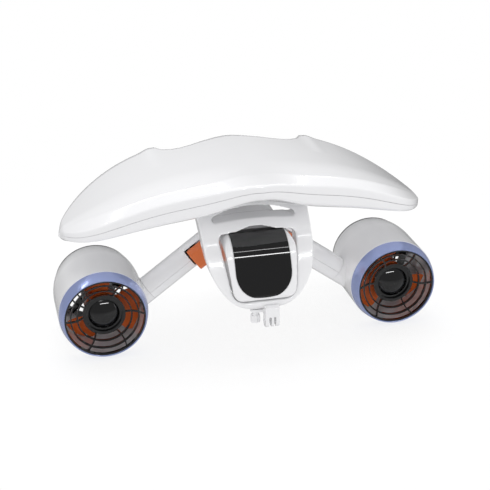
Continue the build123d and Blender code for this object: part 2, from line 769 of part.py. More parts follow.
# ---- Battery: cap with its black panel, sealed case, cells, plug and seal ----
with BuildPart() as front_panel:
    with BuildSketch(Plane.XZ):
        with BuildLine():
            panel_side = Line((panel_half_top, 2 * pod_top_z), (panel_half_top, panel_waist_z))
            panel_edge = TangentArc(panel_side @ 1, (panel_half_low, panel_corner_z), tangent=(0, -1))
            panel_turn = TangentArc(panel_edge @ 1, (panel_flat, panel_low_z), tangent=panel_edge % 1)
            ThreePointArc(panel_turn @ 1, (0, panel_low_z - panel_sag), (-panel_flat, panel_low_z))
            far_turn = TangentArc((-panel_half_low, panel_corner_z), (-panel_flat, panel_low_z),
                                  tangent=(-(panel_edge % 1).X, (panel_edge % 1).Y))
            far_edge = TangentArc((-panel_half_top, panel_waist_z), far_turn @ 0, tangent=(0, -1))
            Polyline(far_edge @ 0, (-panel_half_top, 2 * pod_top_z), panel_side @ 0)
        make_face()
    extrude(amount=2 * half_length, both=True)
    add(pod_outer, mode=Mode.INTERSECT)
    add(pod_form(panel_thick), mode=Mode.SUBTRACT)
    add(slab(cap_joint_y, 2 * half_length), mode=Mode.SUBTRACT)
    add(slab(-2 * half_length, nose_y - 1), mode=Mode.SUBTRACT)

mouth_form = pod_form(pod_wall + fit_gap)
with BuildPart() as battery_cap:
    add(pod_outer)
    add(slab(cap_joint_y, 2 * half_length), mode=Mode.SUBTRACT)
    add(pod_inner, mode=Mode.SUBTRACT)
    add(front_panel.part, mode=Mode.SUBTRACT)
with BuildPart() as cap_plug:
    add(mouth_form)
    add(slab(nose_y - 1, cap_joint_y - pod_wall), mode=Mode.SUBTRACT)
    add(slab(cap_joint_y + plug_flange, 2 * half_length), mode=Mode.SUBTRACT)
with BuildPart() as cap_bulkhead:
    add(pod_inner)
    add(slab(nose_y - 1, cap_joint_y - pod_wall), mode=Mode.SUBTRACT)
    add(slab(cap_joint_y, 2 * half_length), mode=Mode.SUBTRACT)
seal_front = cap_joint_y + (plug_flange - seal_w) / 2
with BuildPart() as battery_seal:
    add(pod_form(pod_wall + seal_gap))
    add(pod_form(pod_wall + fit_gap + seal_depth), mode=Mode.SUBTRACT)
    add(slab(-2 * half_length, seal_front), mode=Mode.SUBTRACT)
    add(slab(seal_front + seal_w, 2 * half_length), mode=Mode.SUBTRACT)
with BuildPart() as nose_cap:
    add(battery_cap.part)
    add(cap_bulkhead.part)
    add(cap_plug.part)
    add(battery_seal.part, mode=Mode.SUBTRACT)

pack_front_y = cap_joint_y + plug_flange
pack_length = cell_columns * cell_pitch + 2 * pack_wall + 2
pack_rear_y = pack_front_y + pack_length
pack_mid_z = pack_bottom_z + pack_height / 2
with BuildPart() as battery_case:
    with BuildSketch(Plane.XZ.offset(-pack_front_y)):
        with Locations((0, pack_mid_z)):
            RectangleRounded(2 * pack_half_w, pack_height, pack_round)
    extrude(amount=-pack_length)
    with BuildSketch(Plane.XZ.offset(-pack_front_y - pack_wall)):
        with Locations((0, pack_mid_z)):
            RectangleRounded(2 * (pack_half_w - pack_wall), pack_height - 2 * pack_wall,
                             pack_round - pack_wall)
    extrude(amount=2 * pack_wall - pack_length, mode=Mode.SUBTRACT)
with BuildPart() as battery_cells:
    with BuildSketch(Plane.YZ.offset(-cell_length / 2)):
        with Locations(((pack_front_y + pack_rear_y) / 2, pack_mid_z)):
            with GridLocations(cell_pitch, cell_pitch, cell_columns, cell_rows):
                Circle(cell_r)
    extrude(amount=cell_length)
with BuildPart() as battery_plug:
    with BuildSketch(Plane.XZ.offset(-pack_rear_y)):
        with Locations((0, pack_mid_z)):
            Rectangle(plug_w, plug_h)
    extrude(amount=-plug_length)
with BuildPart() as battery_socket:
    with BuildSketch(Plane.XZ.offset(-pack_rear_y - fit_gap - 1)):
        with Locations((0, pack_mid_z)):
            Rectangle(plug_w + 2 * (fit_gap + socket_wall), plug_h + 2 * (fit_gap + socket_wall))
    extrude(amount=-plug_length - socket_back)
    with BuildSketch(Plane.XZ.offset(-pack_rear_y)):
        with Locations((0, pack_mid_z)):
            Rectangle(plug_w + 2 * fit_gap, plug_h + 2 * fit_gap)
    extrude(amount=-plug_length - fit_gap, mode=Mode.SUBTRACT)
    with BuildSketch(Plane.XY.offset(pod_bottom_z + pod_wall)):
        with Locations((0, pack_rear_y + plug_length + socket_back / 2)):
            Rectangle(plug_w, socket_back)
    extrude(amount=pack_mid_z - pod_bottom_z - pod_wall)
board_front_y = pack_rear_y + plug_length + socket_back + 4
with BuildPart() as controller_board:
    with BuildSketch(Plane.XY.offset(board_z)):
        with Locations((0, board_front_y + board_l / 2)):
            Rectangle(board_w, board_l)
    extrude(amount=board_thick)
    with BuildSketch(Plane.XY.offset(board_z + board_thick)):
        with Locations((0, board_front_y + board_l / 2)):
            with GridLocations(board_w / 2, board_l / 3, 2, 3):
                Rectangle(board_chip, board_chip)
    extrude(amount=board_chip_h)
    with BuildSketch(Plane.XY.offset(pod_bottom_z + pod_wall)):
        with Locations((0, board_front_y + board_l / 4)):
            with GridLocations(board_w / 2, board_l / 3, 2, 2):
                Circle(board_foot_r)
    extrude(amount=board_z - pod_bottom_z - pod_wall)

# ---- Arm covers ----
def arm_cover(side):
    """One half of the arm's tube, above or below its seam, from the pod's side to the barrel's collar."""
    with BuildPart() as cover:
        with BuildSketch(arm_plane(spigot_start - 12)):
            Circle(arm_r)
            Circle(arm_r - wall, mode=Mode.SUBTRACT)
            with Locations((-side * (arm_r - cover_gap / 2), 0)):
                Rectangle(2 * arm_r, 3 * arm_r, mode=Mode.SUBTRACT)
        extrude(amount=arm_collar_s - cover_gap - spigot_start + 12)
        add(pod_outer, mode=Mode.SUBTRACT)
        add(trigger_window.part, mode=Mode.SUBTRACT)
        add(arm_root.part, mode=Mode.SUBTRACT)
    return cover


arm_upper_cover = arm_cover(1)
arm_lower_cover = arm_cover(-1)

# ---- Trigger, its pin, return spring and sensor board ----
pivot_s = trigger_s + trigger_length / 2 - web_length / 2
with BuildPart() as trigger:
    with BuildSketch(arm_plane(trigger_s - trigger_length / 2)):
        with BuildLine():
            Polyline((trigger_top, trigger_back), (trigger_top, trigger_reach - 7),
                     (trigger_top - 5, trigger_reach - 0.8), (trigger_low + 7, trigger_reach),
                     (trigger_low, trigger_reach - 5.5), (trigger_low + 3, trigger_back), close=True)
        make_face()
        fillet(vertices(), trigger_round)
    extrude(amount=trigger_length)
    with BuildSketch(arm_plane(trigger_s - trigger_length / 2 + trigger_skin / 2)):
        with Locations(((trigger_top + trigger_low) / 2 + 1, trigger_back + (trigger_reach - trigger_back) / 3)):
            Rectangle(trigger_top - trigger_low - 2 * trigger_skin, trigger_reach - trigger_back)
        with Locations(((trigger_top + trigger_low) / 2 + 1, trigger_back)):
            Rectangle(trigger_top - trigger_low - 2 * trigger_skin, trigger_reach - trigger_back)
    extrude(amount=trigger_length - trigger_skin, mode=Mode.SUBTRACT)
    with BuildSketch(arm_plane(pivot_s - web_length / 2)):
        with Locations((0, (pin_reach - web_length / 2 + trigger_reach - 3) / 2)):
            Rectangle(2 * web_half, trigger_reach - 3 - pin_reach + web_length / 2)
    extrude(amount=web_length)
    with BuildSketch(Plane(origin=arm_plane(pivot_s).from_local_coords((-web_half - 1, pin_reach, 0)),
                           z_dir=arm_plane(pivot_s).x_dir)):
        Circle(pin_r + shaft_gap)
    extrude(amount=2 * web_half + 2, mode=Mode.SUBTRACT)

pin_half = sqrt((arm_r - wall) ** 2 - (pin_reach + pin_r) ** 2)
with BuildPart() as trigger_pin:
    with BuildSketch(Plane(origin=arm_plane(pivot_s).from_local_coords((-pin_half, pin_reach, 0)),
                           z_dir=arm_plane(pivot_s).x_dir)):
        Circle(pin_r)
    extrude(amount=2 * pin_half)

spring_base = arm_plane(pivot_s).from_local_coords((web_half + 4 * spring_wire_r, pin_reach, 0))
with BuildPart() as trigger_spring:
    with BuildLine():
        trigger_coil = Helix(3 * spring_wire_r, 3 * spring_wire_r * spring_turns, pin_r + 1.6 * spring_wire_r,
                             center=spring_base, direction=arm_plane(pivot_s).x_dir)
    with BuildSketch(Plane(origin=trigger_coil @ 0, z_dir=trigger_coil % 0)):
        Circle(spring_wire_r)
    sweep(path=trigger_coil, is_frenet=True)

with BuildPart() as trigger_sensor:
    with BuildSketch(arm_plane(pivot_s - sensor_board[1] / 2)):
        with Locations((0, -sensor_back)):
            Rectangle(2 * sqrt((arm_r - wall) ** 2 - (sensor_back + sensor_board[2] / 2) ** 2), sensor_board[2])
    extrude(amount=sensor_board[1])

# ---- Motor cable, from the controller through the arm and one vane to the motor ----
entry = arm_plane(cable_entry_s).from_local_coords((0, -cable_back, 0))
cable_y = arm_y + cable_back
side_z = arm_height_at_middle - cable_side_x * tan(radians(arm_slope))
board_end = Vector(board_w / 2 - 3, board_front_y + board_l / 2, board_z + board_thick + cable_r + shaft_gap)
cable_points = [
    board_end,
    Vector(board_end.X, pack_rear_y + cable_turn, board_end.Z),
    Vector(cable_side_x, pack_rear_y + cable_turn, side_z),
    Vector(cable_side_x, cable_y, side_z),
    entry,
    Vector(entry.X + 2.6, lip_y + cable_depth, axis_z),
    Vector(thruster_x - tail_spigot_r - fit_gap, lip_y + cable_depth, axis_z),
]
with BuildPart() as motor_cable:
    with BuildLine():
        cable_path = FilletPolyline(*cable_points, radius=cable_bends)
    with BuildSketch(Plane(origin=cable_path @ 0, z_dir=cable_path % 0)):
        Circle(cable_r)
    sweep(path=cable_path)


# ---- Floater: one hollow form along the machine's width, split along a seam into two shells ----
def floater_outline(x, inset=0.0):
    """Corner points of the floater's section at a station: upper run, then lower run, seam to seam."""
    a = abs(x)
    along = a / floater_half_span
    top = floater_top_z - floater_droop * (a / floater_droop_at) ** 2.5
    hump = max(0.0, 1 - (a / hump_half) ** 2) ** 1.5
    k = sqrt(1 - along ** 6)
    front = floater_front_y + floater_sweep * a + floater_curl * along ** 10
    rear = floater_mid_y + floater_tail * (1 - along ** 4) ** 0.65
    seam = top - seam_drop_tip - seam_drop * (1 - along ** 5) ** 0.9 + hump_seam * hump
    low = top - floater_tip - floater_depth * (1 - along ** 4) ** 0.6 + hump_low * hump
    crease = front + (rear - front) * (crease_share + crease_tip_share * along ** 5) + hump_crease * hump
    brow = nose_fall * k ** 2 - hump_brow * hump
    flange = seam - (seam - low) * (flange_fall - hump_flange * hump)
    mid = (crease + rear - 3 * rim_round * k) / 2
    slant = inset * sqrt(0.5)
    front_seam, rear_seam = (front + inset, seam), (rear - inset, top - rim_round * k)
    upper = [
        front_seam, (front + nose_run * k + slant, top - brow - slant),
        (front + strip_share * (crease - front), top - strip_fall * brow - inset),
        (crease, top - crease_fall * brow - inset),
        (crease + after_share * (mid - crease), top - after_fall * brow - inset),
        (mid, top - inset), (rear - 3 * rim_round * k, top - inset),
        (rear - 1.5 * rim_round * k, top - 0.1 * rim_round * k - inset),
        (rear - 0.5 * rim_round * k - slant, top - 0.4 * rim_round * k - slant), rear_seam,
    ]
    lower = [
        rear_seam, (rear - 0.5 * rim_round * k - slant, top - 0.8 * rim_thick * k + slant),
        (rear - 1.5 * rim_round * k, top - rim_thick * k + inset),
        (rear - 3 * rim_round * k, top - 1.1 * rim_thick * k + inset),
        (mid, (low + top - rim_thick * k) / 2 + inset), (crease + low_run * k, low + inset),
        (front + flange_run * k + slant, flange + slant), front_seam,
    ]
    return upper, lower


def floater_loft(stations, run, inset=0.0):
    """A loft along X through the upper run (0), the lower run (1) or both closed together (2)."""
    with BuildPart() as form:
        for x in stations:
            runs = floater_outline(x, inset)
            with BuildSketch(Plane.YZ.offset(x)):
                with BuildLine():
                    if run == 2:
                        Spline(*runs[0])
                        Spline(*runs[1])
                    else:
                        curve = Spline(*runs[run])
                        Line(curve @ 1, curve @ 0)
                make_face()
        loft()
    return form.part


def hand_notches(grow):
    """The two scoops in the floater's rear rim, seen from above and grown, as one tall cutter."""
    corner_x = notch_points[0][0]
    rim = [(x + grow * max(0.0, x - notch_deep_x) / (corner_x - notch_deep_x), y - grow) for x, y in notch_points]
    with BuildPart() as cutter:
        with BuildSketch(Plane.XY.offset(pod_top_z)):
            with BuildLine():
                far_side = Spline(*[(-x, y) for x, y in rim])
                near_side = Spline(*rim)
                Polyline(near_side @ 0, (rim[0][0], notch_rear_y), (-rim[0][0], notch_rear_y), far_side @ 0)
            make_face()
        extrude(amount=2 * (floater_top_z - pod_top_z))
    return cutter.part


outer_stations = [-x for x in reversed(float_stations[1:])] + list(float_stations)
inner_stations = outer_stations[2:-2]
floater_outer = floater_loft(outer_stations, 2)
with BuildPart() as floater_hollow:
    add(floater_loft(inner_stations, 2, floater_wall))
    add(hand_notches(floater_wall), mode=Mode.SUBTRACT)
with BuildPart() as floater_upper_shell:
    add(floater_loft(outer_stations, 0))
    add(hand_notches(0), mode=Mode.SUBTRACT)
    add(floater_hollow.part, mode=Mode.SUBTRACT)
with BuildPart() as bracket_boss:
    with BuildSketch(Plane.XY.offset(boss_low_z)):
        with Locations((-bracket_screw_x, bracket_screw_y), (bracket_screw_x, bracket_screw_y)):
            Circle(boss_r)
    extrude(amount=boss_height)
    add(floater_outer, mode=Mode.INTERSECT)
with BuildPart() as bracket_screws:
    with BuildSketch(Plane.XY.offset(bracket_pad_z - screw_head_h)):
        with Locations((-bracket_screw_x, bracket_screw_y), (bracket_screw_x, bracket_screw_y)):
            Circle(screw_head_r)
    extrude(amount=screw_head_h)
    with BuildSketch(Plane.XY.offset(bracket_pad_z)):
        with Locations((-bracket_screw_x, bracket_screw_y), (bracket_screw_x, bracket_screw_y)):
            Circle(screw_r)
    extrude(amount=bracket_screw_length)
with BuildPart() as floater_lower_shell:
    add(floater_loft(outer_stations, 1))
    add(hand_notches(0), mode=Mode.SUBTRACT)
    add(floater_hollow.part, mode=Mode.SUBTRACT)
    add(bracket_boss.part)
    add(bracket_screws.part, mode=Mode.SUBTRACT)

# ---- Rear cradle between the pod's deck and the floater ----
with BuildPart() as rear_cradle:
    with BuildSketch(Plane.XZ.offset(-cradle_front_y)):
        Polygon((-cradle_half_low, pod_top_z + fit_gap), (cradle_half_low, pod_top_z + fit_gap),
                (cradle_half_top, cradle_top_z), (-cradle_half_top, cradle_top_z), align=None)
    extrude(amount=cradle_front_y - cradle_rear_y)
    with BuildSketch(Plane.XY.offset(pod_top_z + fit_gap + wall)):
        with Locations((0, (cradle_front_y + cradle_rear_y) / 2)):
            Rectangle(2 * (cradle_half_top - wall), cradle_rear_y - cradle_front_y - 2 * wall)
    extrude(amount=floater_top_z - pod_top_z, mode=Mode.SUBTRACT)
    add(floater_outer, mode=Mode.SUBTRACT)

# ---- Front bracket: a yoke round the nose that carries the floater ----
def bracket_outline(grow):
    """The bracket's front outline, grown outwards."""
    with BuildSketch(Plane.XZ) as outline:
        with BuildLine():
            flank = Line((bracket_half_w, floater_top_z), bracket_waist)
            jaw = TangentArc(flank @ 1, bracket_jaw, tangent=flank % 1)
            chin = TangentArc(jaw @ 1, (0, bracket_bottom_z), tangent=jaw % 1)
            Polyline((0, bracket_bottom_z), (0, floater_top_z), flank @ 0)
        make_face()
        mirror(about=Plane.YZ)
        offset(amount=grow)
    return outline.sketch


def bracket_openings(grow):
    """The nose window, its raised middle and the crescent slot above it, grown outwards."""
    with BuildSketch(Plane.XZ) as openings:
        Polygon((window_half_top, window_top_z), (-window_half_top, window_top_z),
                (-pod_half_bottom - nose_gap, pod_bottom_z - nose_gap),
                (pod_half_bottom + nose_gap, pod_bottom_z - nose_gap), align=None)
        fillet(vertices().group_by(Axis.Y)[0], pod_bottom_round + nose_gap)
        fillet(vertices().group_by(Axis.Y)[-1], window_round)
        with BuildLine():
            hump_rise = TangentArc((-window_hump_half, window_top_z),
                                   (-window_hump_half / 2, window_top_z + window_hump / 2), tangent=(1, 0))
            hump_crown = TangentArc(hump_rise @ 1, (0, window_top_z + window_hump), tangent=hump_rise % 1)
            Polyline(hump_crown @ 1, (0, window_top_z), hump_rise @ 0)
        make_face()
        mirror(about=Plane.YZ)
        with BuildLine():
            slot_top = ThreePointArc((slot_half_w, slot_end_z), (0, slot_top_z), (-slot_half_w, slot_end_z))
            slot_left = Line(slot_top @ 1, (-slot_half_w, slot_bottom_z))
            slot_base = ThreePointArc(slot_left @ 1, (0, slot_bottom_z + slot_bow), (slot_half_w, slot_bottom_z))
            Line(slot_base @ 1, slot_top @ 0)
        make_face()
        fillet(vertices().sort_by(Axis.Y)[-4:], slot_round)
        offset(amount=grow)
    return openings.sketch


def bracket_band(front_inset, rear_inset):
    """The bracket's depth seen from the side, rising from the chin along the nose to the floater."""
    with BuildPart() as band:
        with BuildSketch(Plane.YZ):
            with BuildLine():
                front_start = Line((chin_y + bracket_depth - rear_inset, bracket_bottom_z - 1),
                                   (chin_y + front_inset, bracket_bottom_z - 1))
                front_chin = ThreePointArc(front_start @ 1, (chin_mid[0] + front_inset, chin_mid[1]),
                                           (chin_front[0] + front_inset, chin_front[1]))
                front_rise = ThreePointArc(front_chin @ 1, (brow_mid[0] + front_inset, brow_mid[1]),
                                           (brow_top[0] + front_inset, brow_top[1]))
                rear_rise = ThreePointArc((chin_front[0] + bracket_depth - rear_inset, chin_front[1]),
                                          (brow_mid[0] + bracket_depth - rear_inset, brow_mid[1]),
                                          (brow_top[0] + bracket_depth - rear_inset, brow_top[1]))
                Polyline(front_rise @ 1, (brow_last[0] + front_inset, brow_last[1]),
                         (brow_last[0] + bracket_depth - rear_inset, brow_last[1]), rear_rise @ 1)
                Line(rear_rise @ 0, front_start @ 0)
            make_face()
        extrude(amount=2 * bracket_half_w, both=True)
    return band.part


with BuildPart() as bracket_pocket:
    extrude(bracket_outline(-bracket_wall), amount=2 * half_length, both=True)
    extrude(bracket_openings(bracket_wall), amount=2 * half_length, both=True, mode=Mode.SUBTRACT)
    add(bracket_band(bracket_wall, -bracket_depth), mode=Mode.INTERSECT)
    with BuildSketch(Plane.XY.offset(bracket_pad_z)):
        Rectangle(4 * bracket_half_w, 4 * half_length)
    extrude(amount=floater_top_z, mode=Mode.SUBTRACT)
with BuildPart() as bracket_frame:
    extrude(bracket_outline(0), amount=2 * half_length, both=True)
    extrude(bracket_openings(0), amount=2 * half_length, both=True, mode=Mode.SUBTRACT)
    add(bracket_band(0, 0), mode=Mode.INTERSECT)
    add(pod_form(-nose_gap), mode=Mode.SUBTRACT)
    add(bracket_pocket.part, mode=Mode.SUBTRACT)
    add(floater_outer, mode=Mode.SUBTRACT)
with BuildPart() as floater_bracket:
    add(bracket_frame.part.solids().sort_by(SortBy.VOLUME)[-1])
    add(bracket_screws.part, mode=Mode.SUBTRACT)

# ---- Camera mount: three prongs under the chin, with a clamp screw beside them ----
with BuildPart() as camera_mount:
    with BuildSketch(Plane.XY.offset(bracket_bottom_z - base_thick)):
        with Locations((mount_x, mount_mid_y)):
            RectangleRounded(mount_width, mount_depth, mount_round)
        with Locations(((mount_x + knob_x) / 2, knob_y)):
            SlotOverall(mount_x - knob_x + 2 * lug_r, 2 * lug_r)
    extrude(amount=base_thick)
    with BuildSketch(Plane.XY.offset(bracket_bottom_z)):
        with Locations((mount_x, chin_y + (mount_front_y - chin_y) / 2)):
            Rectangle(mount_width, chin_y - mount_front_y)
    extrude(amount=block_top_z - bracket_bottom_z)
    add(bracket_band(0, 0), mode=Mode.SUBTRACT)
    with BuildSketch(Plane.YZ.offset(mount_x - mount_width / 2)):
        with Locations((mount_front_y + prong_tip_r, prong_tip_z + prong_tip_r)):
            Circle(prong_tip_r)
            Rectangle(2 * prong_tip_r, bracket_bottom_z - prong_tip_z - prong_tip_r, align=(Align.CENTER, Align.MIN))
    extrude(amount=mount_width)
    with BuildSketch(Plane.YZ.offset(mount_x - mount_width / 2)):
        with Locations((mount_front_y + prong_tip_r, prong_tip_z + prong_tip_r)):
            Circle(prong_bore_r)
    extrude(amount=mount_width, mode=Mode.SUBTRACT)
    with BuildSketch(Plane.XY.offset(prong_tip_z)):
        with Locations((mount_x - prong_pitch / 2, mount_front_y + prong_tip_r),
                       (mount_x + prong_pitch / 2, mount_front_y + prong_tip_r)):
            Rectangle(prong_gap, 2 * prong_tip_r)
    extrude(amount=prong_slot, mode=Mode.SUBTRACT)
    with BuildSketch(Plane.XY.offset(bracket_bottom_z - base_thick)):
        with Locations((knob_x, knob_y)):
            Circle(knob_shank_r + shaft_gap)
    extrude(amount=base_thick, mode=Mode.SUBTRACT)

with BuildPart() as bracket_tapped:
    add(floater_bracket.part)
    with BuildSketch(Plane.XY.offset(bracket_bottom_z)):
        with Locations((knob_x, knob_y)):
            Circle(knob_shank_r + shaft_gap)
    extrude(amount=knob_shank, mode=Mode.SUBTRACT)
floater_bracket = bracket_tapped

with BuildPart() as thumbscrew:
    with BuildSketch(Plane.XY.offset(knob_top_z - knob_length)):
        with Locations((knob_x, knob_y)):
            Circle(knob_r - knob_scallop / 2)
            with PolarLocations(knob_r, knob_lobes):
                Circle(knob_scallop, mode=Mode.SUBTRACT)
    extrude(amount=knob_length)
    with BuildSketch(Plane.XY.offset(knob_top_z)):
        with Locations((knob_x, knob_y)):
            Circle(knob_neck_r)
    extrude(amount=bracket_bottom_z - base_thick - fit_gap - knob_top_z)
    with BuildSketch(Plane.XY.offset(knob_top_z)):
        with Locations((knob_x, knob_y)):
            Circle(knob_shank_r)
    extrude(amount=bracket_bottom_z - knob_top_z + knob_shank - knob_end_gap)

# ---- Labels and files: one STEP per piece ----
right_pieces = dict(
    thruster_housing=thruster_housing, duct_liner=duct_liner, trim_ring=trim_ring, front_guard=front_guard,
    guard_dome=guard_dome, propeller=propeller, propeller_nut=propeller_nut, motor_shaft=motor_shaft,
    motor_rotor=motor_rotor, motor_can=motor_can, motor_tail=motor_tail, rear_guard=rear_guard,
    arm_upper_cover=arm_upper_cover, arm_lower_cover=arm_lower_cover, trigger=trigger,
)
for name, piece in right_pieces.items():
    piece.part.label = f"{name}_right"
    export_step(piece.part, f"parts/{name}_right.step")
    twin = mirrored(piece.part)
    twin.label = f"{name}_left"
    export_step(twin, f"parts/{name}_left.step")

paired_pieces = dict(
    motor_bearings=(front_bearing, rear_bearing), shaft_seals=(shaft_seal,), guard_screws=(guard_screw,),
    motor_stators=(motor_stator,), motor_cables=(motor_cable,), trigger_pins=(trigger_pin,),
    trigger_springs=(trigger_spring,), trigger_sensors=(trigger_sensor,),
)
for name, pieces in paired_pieces.items():
    with BuildPart() as group:
        for piece in pieces:
            add(piece.part)
            mirror(piece.part, about=Plane.YZ)
    group.part.label = name
    export_step(group.part, f"parts/{name}.step")

single_pieces = dict(
    pod_upper_shell=pod_upper_shell, pod_lower_shell=pod_lower_shell, pod_screws=pod_screws,
    display_window=display_window, display_module=display_module, controller_board=controller_board,
    battery_socket=battery_socket, battery_latch=battery_latch, latch_spring=latch_spring, nose_cap=nose_cap,
    front_panel=front_panel, battery_case=battery_case, battery_cells=battery_cells,
    battery_connector=battery_plug, battery_seal=battery_seal, floater_upper_shell=floater_upper_shell,
    floater_lower_shell=floater_lower_shell, rear_cradle=rear_cradle, floater_bracket=floater_bracket,
    bracket_screws=bracket_screws, camera_mount=camera_mount, thumbscrew=thumbscrew,
)
for name, piece in single_pieces.items():
    piece.part.label = name
    export_step(piece.part, f"parts/{name}.step")
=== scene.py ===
"""Studio scene of an underwater scooter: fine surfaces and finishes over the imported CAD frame."""
import json
import logging
import math
from dataclasses import dataclass
from enum import Enum

import bmesh
import bpy
import numpy as np
from mathutils import Matrix, Vector


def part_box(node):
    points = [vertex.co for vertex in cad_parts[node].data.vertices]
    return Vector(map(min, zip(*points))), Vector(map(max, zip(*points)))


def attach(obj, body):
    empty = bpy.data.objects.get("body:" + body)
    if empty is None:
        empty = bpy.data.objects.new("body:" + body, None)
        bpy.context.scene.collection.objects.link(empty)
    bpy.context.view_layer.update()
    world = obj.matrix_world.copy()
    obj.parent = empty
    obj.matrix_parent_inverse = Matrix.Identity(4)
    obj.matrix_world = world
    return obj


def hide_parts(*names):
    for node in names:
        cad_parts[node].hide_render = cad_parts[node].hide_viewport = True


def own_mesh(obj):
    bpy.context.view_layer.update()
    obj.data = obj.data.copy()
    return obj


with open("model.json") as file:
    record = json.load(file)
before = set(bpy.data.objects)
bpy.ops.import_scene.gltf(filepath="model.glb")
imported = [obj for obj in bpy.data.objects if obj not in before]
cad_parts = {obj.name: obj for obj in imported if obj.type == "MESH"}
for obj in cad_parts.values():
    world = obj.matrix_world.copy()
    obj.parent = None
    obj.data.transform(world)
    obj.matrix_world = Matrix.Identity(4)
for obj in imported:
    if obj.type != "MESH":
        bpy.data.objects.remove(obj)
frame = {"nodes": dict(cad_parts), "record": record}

logging.basicConfig(level=logging.INFO, format="%(name)s: %(message)s")
log = logging.getLogger("scooter")

MM = 0.001
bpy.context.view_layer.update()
LEAST_ROUGHNESS = 0.02
TINY_MM = 1e-9
# How far the float's lines keep inside its CAD box, in mm.
FRONT_INSET = 0.2
TOP_INSET = 0.4


def linear(code: str) -> tuple[float, float, float, float]:
    """Turns an sRGB colour into the linear one a shader socket takes.

    Args:
        code: six hexadecimal digits.
    Returns:
        Red, green, blue and an alpha of one.
    """
    srgb = np.array([int(code[i:i + 2], 16) for i in (0, 2, 4)]) / 255
    rgb = np.where(srgb <= 0.04045, srgb / 12.92, ((srgb + 0.055) / 1.055) ** 2.4)
    return (*(float(value) for value in rgb), 1.0)


def node(tree: bpy.types.NodeTree, kind: str, sockets: dict[str | int, object], **settings) -> bpy.types.Node:
    """Adds one shader node with its constants, links and settings.

    Args:
        tree: the node tree to add to.
        kind: the node's type.
        sockets: for each input, by name or number, its constant or the output that feeds it.
        settings: the node's own properties, such as its operation.
    Returns:
        The new node.
    """
    made = tree.nodes.new(kind)
    for name, value in settings.items():
        setattr(made, name, value)
    for name, value in sockets.items():
        if isinstance(value, bpy.types.NodeSocket):
            tree.links.new(value, made.inputs[name])
        else:
            made.inputs[name].default_value = value
    return made


class Grain(Enum):
    """How a finish's fine pattern lies: the stretch of its noise along the object's X, Y and Z."""

    EVEN = (1.0, 1.0, 1.0)
    DRAWN_Y = (1.0, 0.04, 1.0)
    TURNED = (0.25, 8.0, 0.25)


@dataclass(frozen=True)
class Finish:
    """One real material: its colour, its gloss and the fine pattern that varies both."""

    name: str
    colour: str
    roughness: float
    metallic: float = 0.0
    coat: float = 0.0
    coat_roughness: float = 0.04
    grain: Grain = Grain.EVEN
    mottle_mm: float = 30.0
    mottle: float = 0.02
    mottle_detail: float = 4.0
    rough_shift: float = 0.04
    texture_mm: float = 0.8
    texture_detail: float = 3.0
    relief_mm: float = 0.0
    relief_strength: float = 0.6
    ior: float = 1.5

    def build(self) -> bpy.types.Material:
        """Makes the material, on Object coordinates in real millimetres.

        Returns:
            The finished material.
        """
        material = bpy.data.materials.new(self.name)
        material.use_nodes = True
        tree = material.node_tree
        tree.nodes.clear()
        where = node(tree, "ShaderNodeTexCoord", {})
        spread = node(tree, "ShaderNodeMapping", {
            "Vector": where.outputs["Object"], "Scale": self.grain.value})
        cloud = node(tree, "ShaderNodeTexNoise", {
            "Vector": spread.outputs["Vector"], "Scale": 1 / (self.mottle_mm * MM),
            "Detail": self.mottle_detail})
        gloss = node(tree, "ShaderNodeMapRange", {
            "Value": cloud.outputs["Fac"], "To Min": max(self.roughness - self.rough_shift, LEAST_ROUGHNESS),
            "To Max": self.roughness + self.rough_shift})
        shader = node(tree, "ShaderNodeBsdfPrincipled", {
            "Base Color": self.tint(tree, cloud), "Roughness": gloss.outputs["Result"],
            "Metallic": self.metallic, "IOR": self.ior, "Coat Weight": self.coat,
            "Coat Roughness": self.coat_roughness})
        if self.relief_mm:
            fine = node(tree, "ShaderNodeTexNoise", {
                "Vector": spread.outputs["Vector"], "Scale": 1 / (self.texture_mm * MM),
                "Detail": self.texture_detail})
            bump = node(tree, "ShaderNodeBump", {
                "Height": fine.outputs["Fac"], "Distance": self.relief_mm * MM,
                "Strength": self.relief_strength})
            tree.links.new(bump.outputs["Normal"], shader.inputs["Normal"])
        node(tree, "ShaderNodeOutputMaterial", {"Surface": shader.outputs["BSDF"]})
        return material

    def tint(self, tree: bpy.types.NodeTree, cloud: bpy.types.Node) -> bpy.types.NodeSocket:
        """Mixes a slightly darker and a slightly lighter tone of the colour by the noise.

        Args:
            tree: the material's node tree.
            cloud: the noise.
        Returns:
            The mixed colour's socket.
        """
        base = np.array(linear(self.colour))
        dark = tuple(base * np.array([1 - self.mottle] * 3 + [1]))
        light = tuple(np.minimum(base * np.array([1 + self.mottle] * 3 + [1]), 1))
        mixed = node(tree, "ShaderNodeMix", {
            "Factor": cloud.outputs["Fac"], 6: dark, 7: light}, data_type="RGBA")
        return mixed.outputs[2]


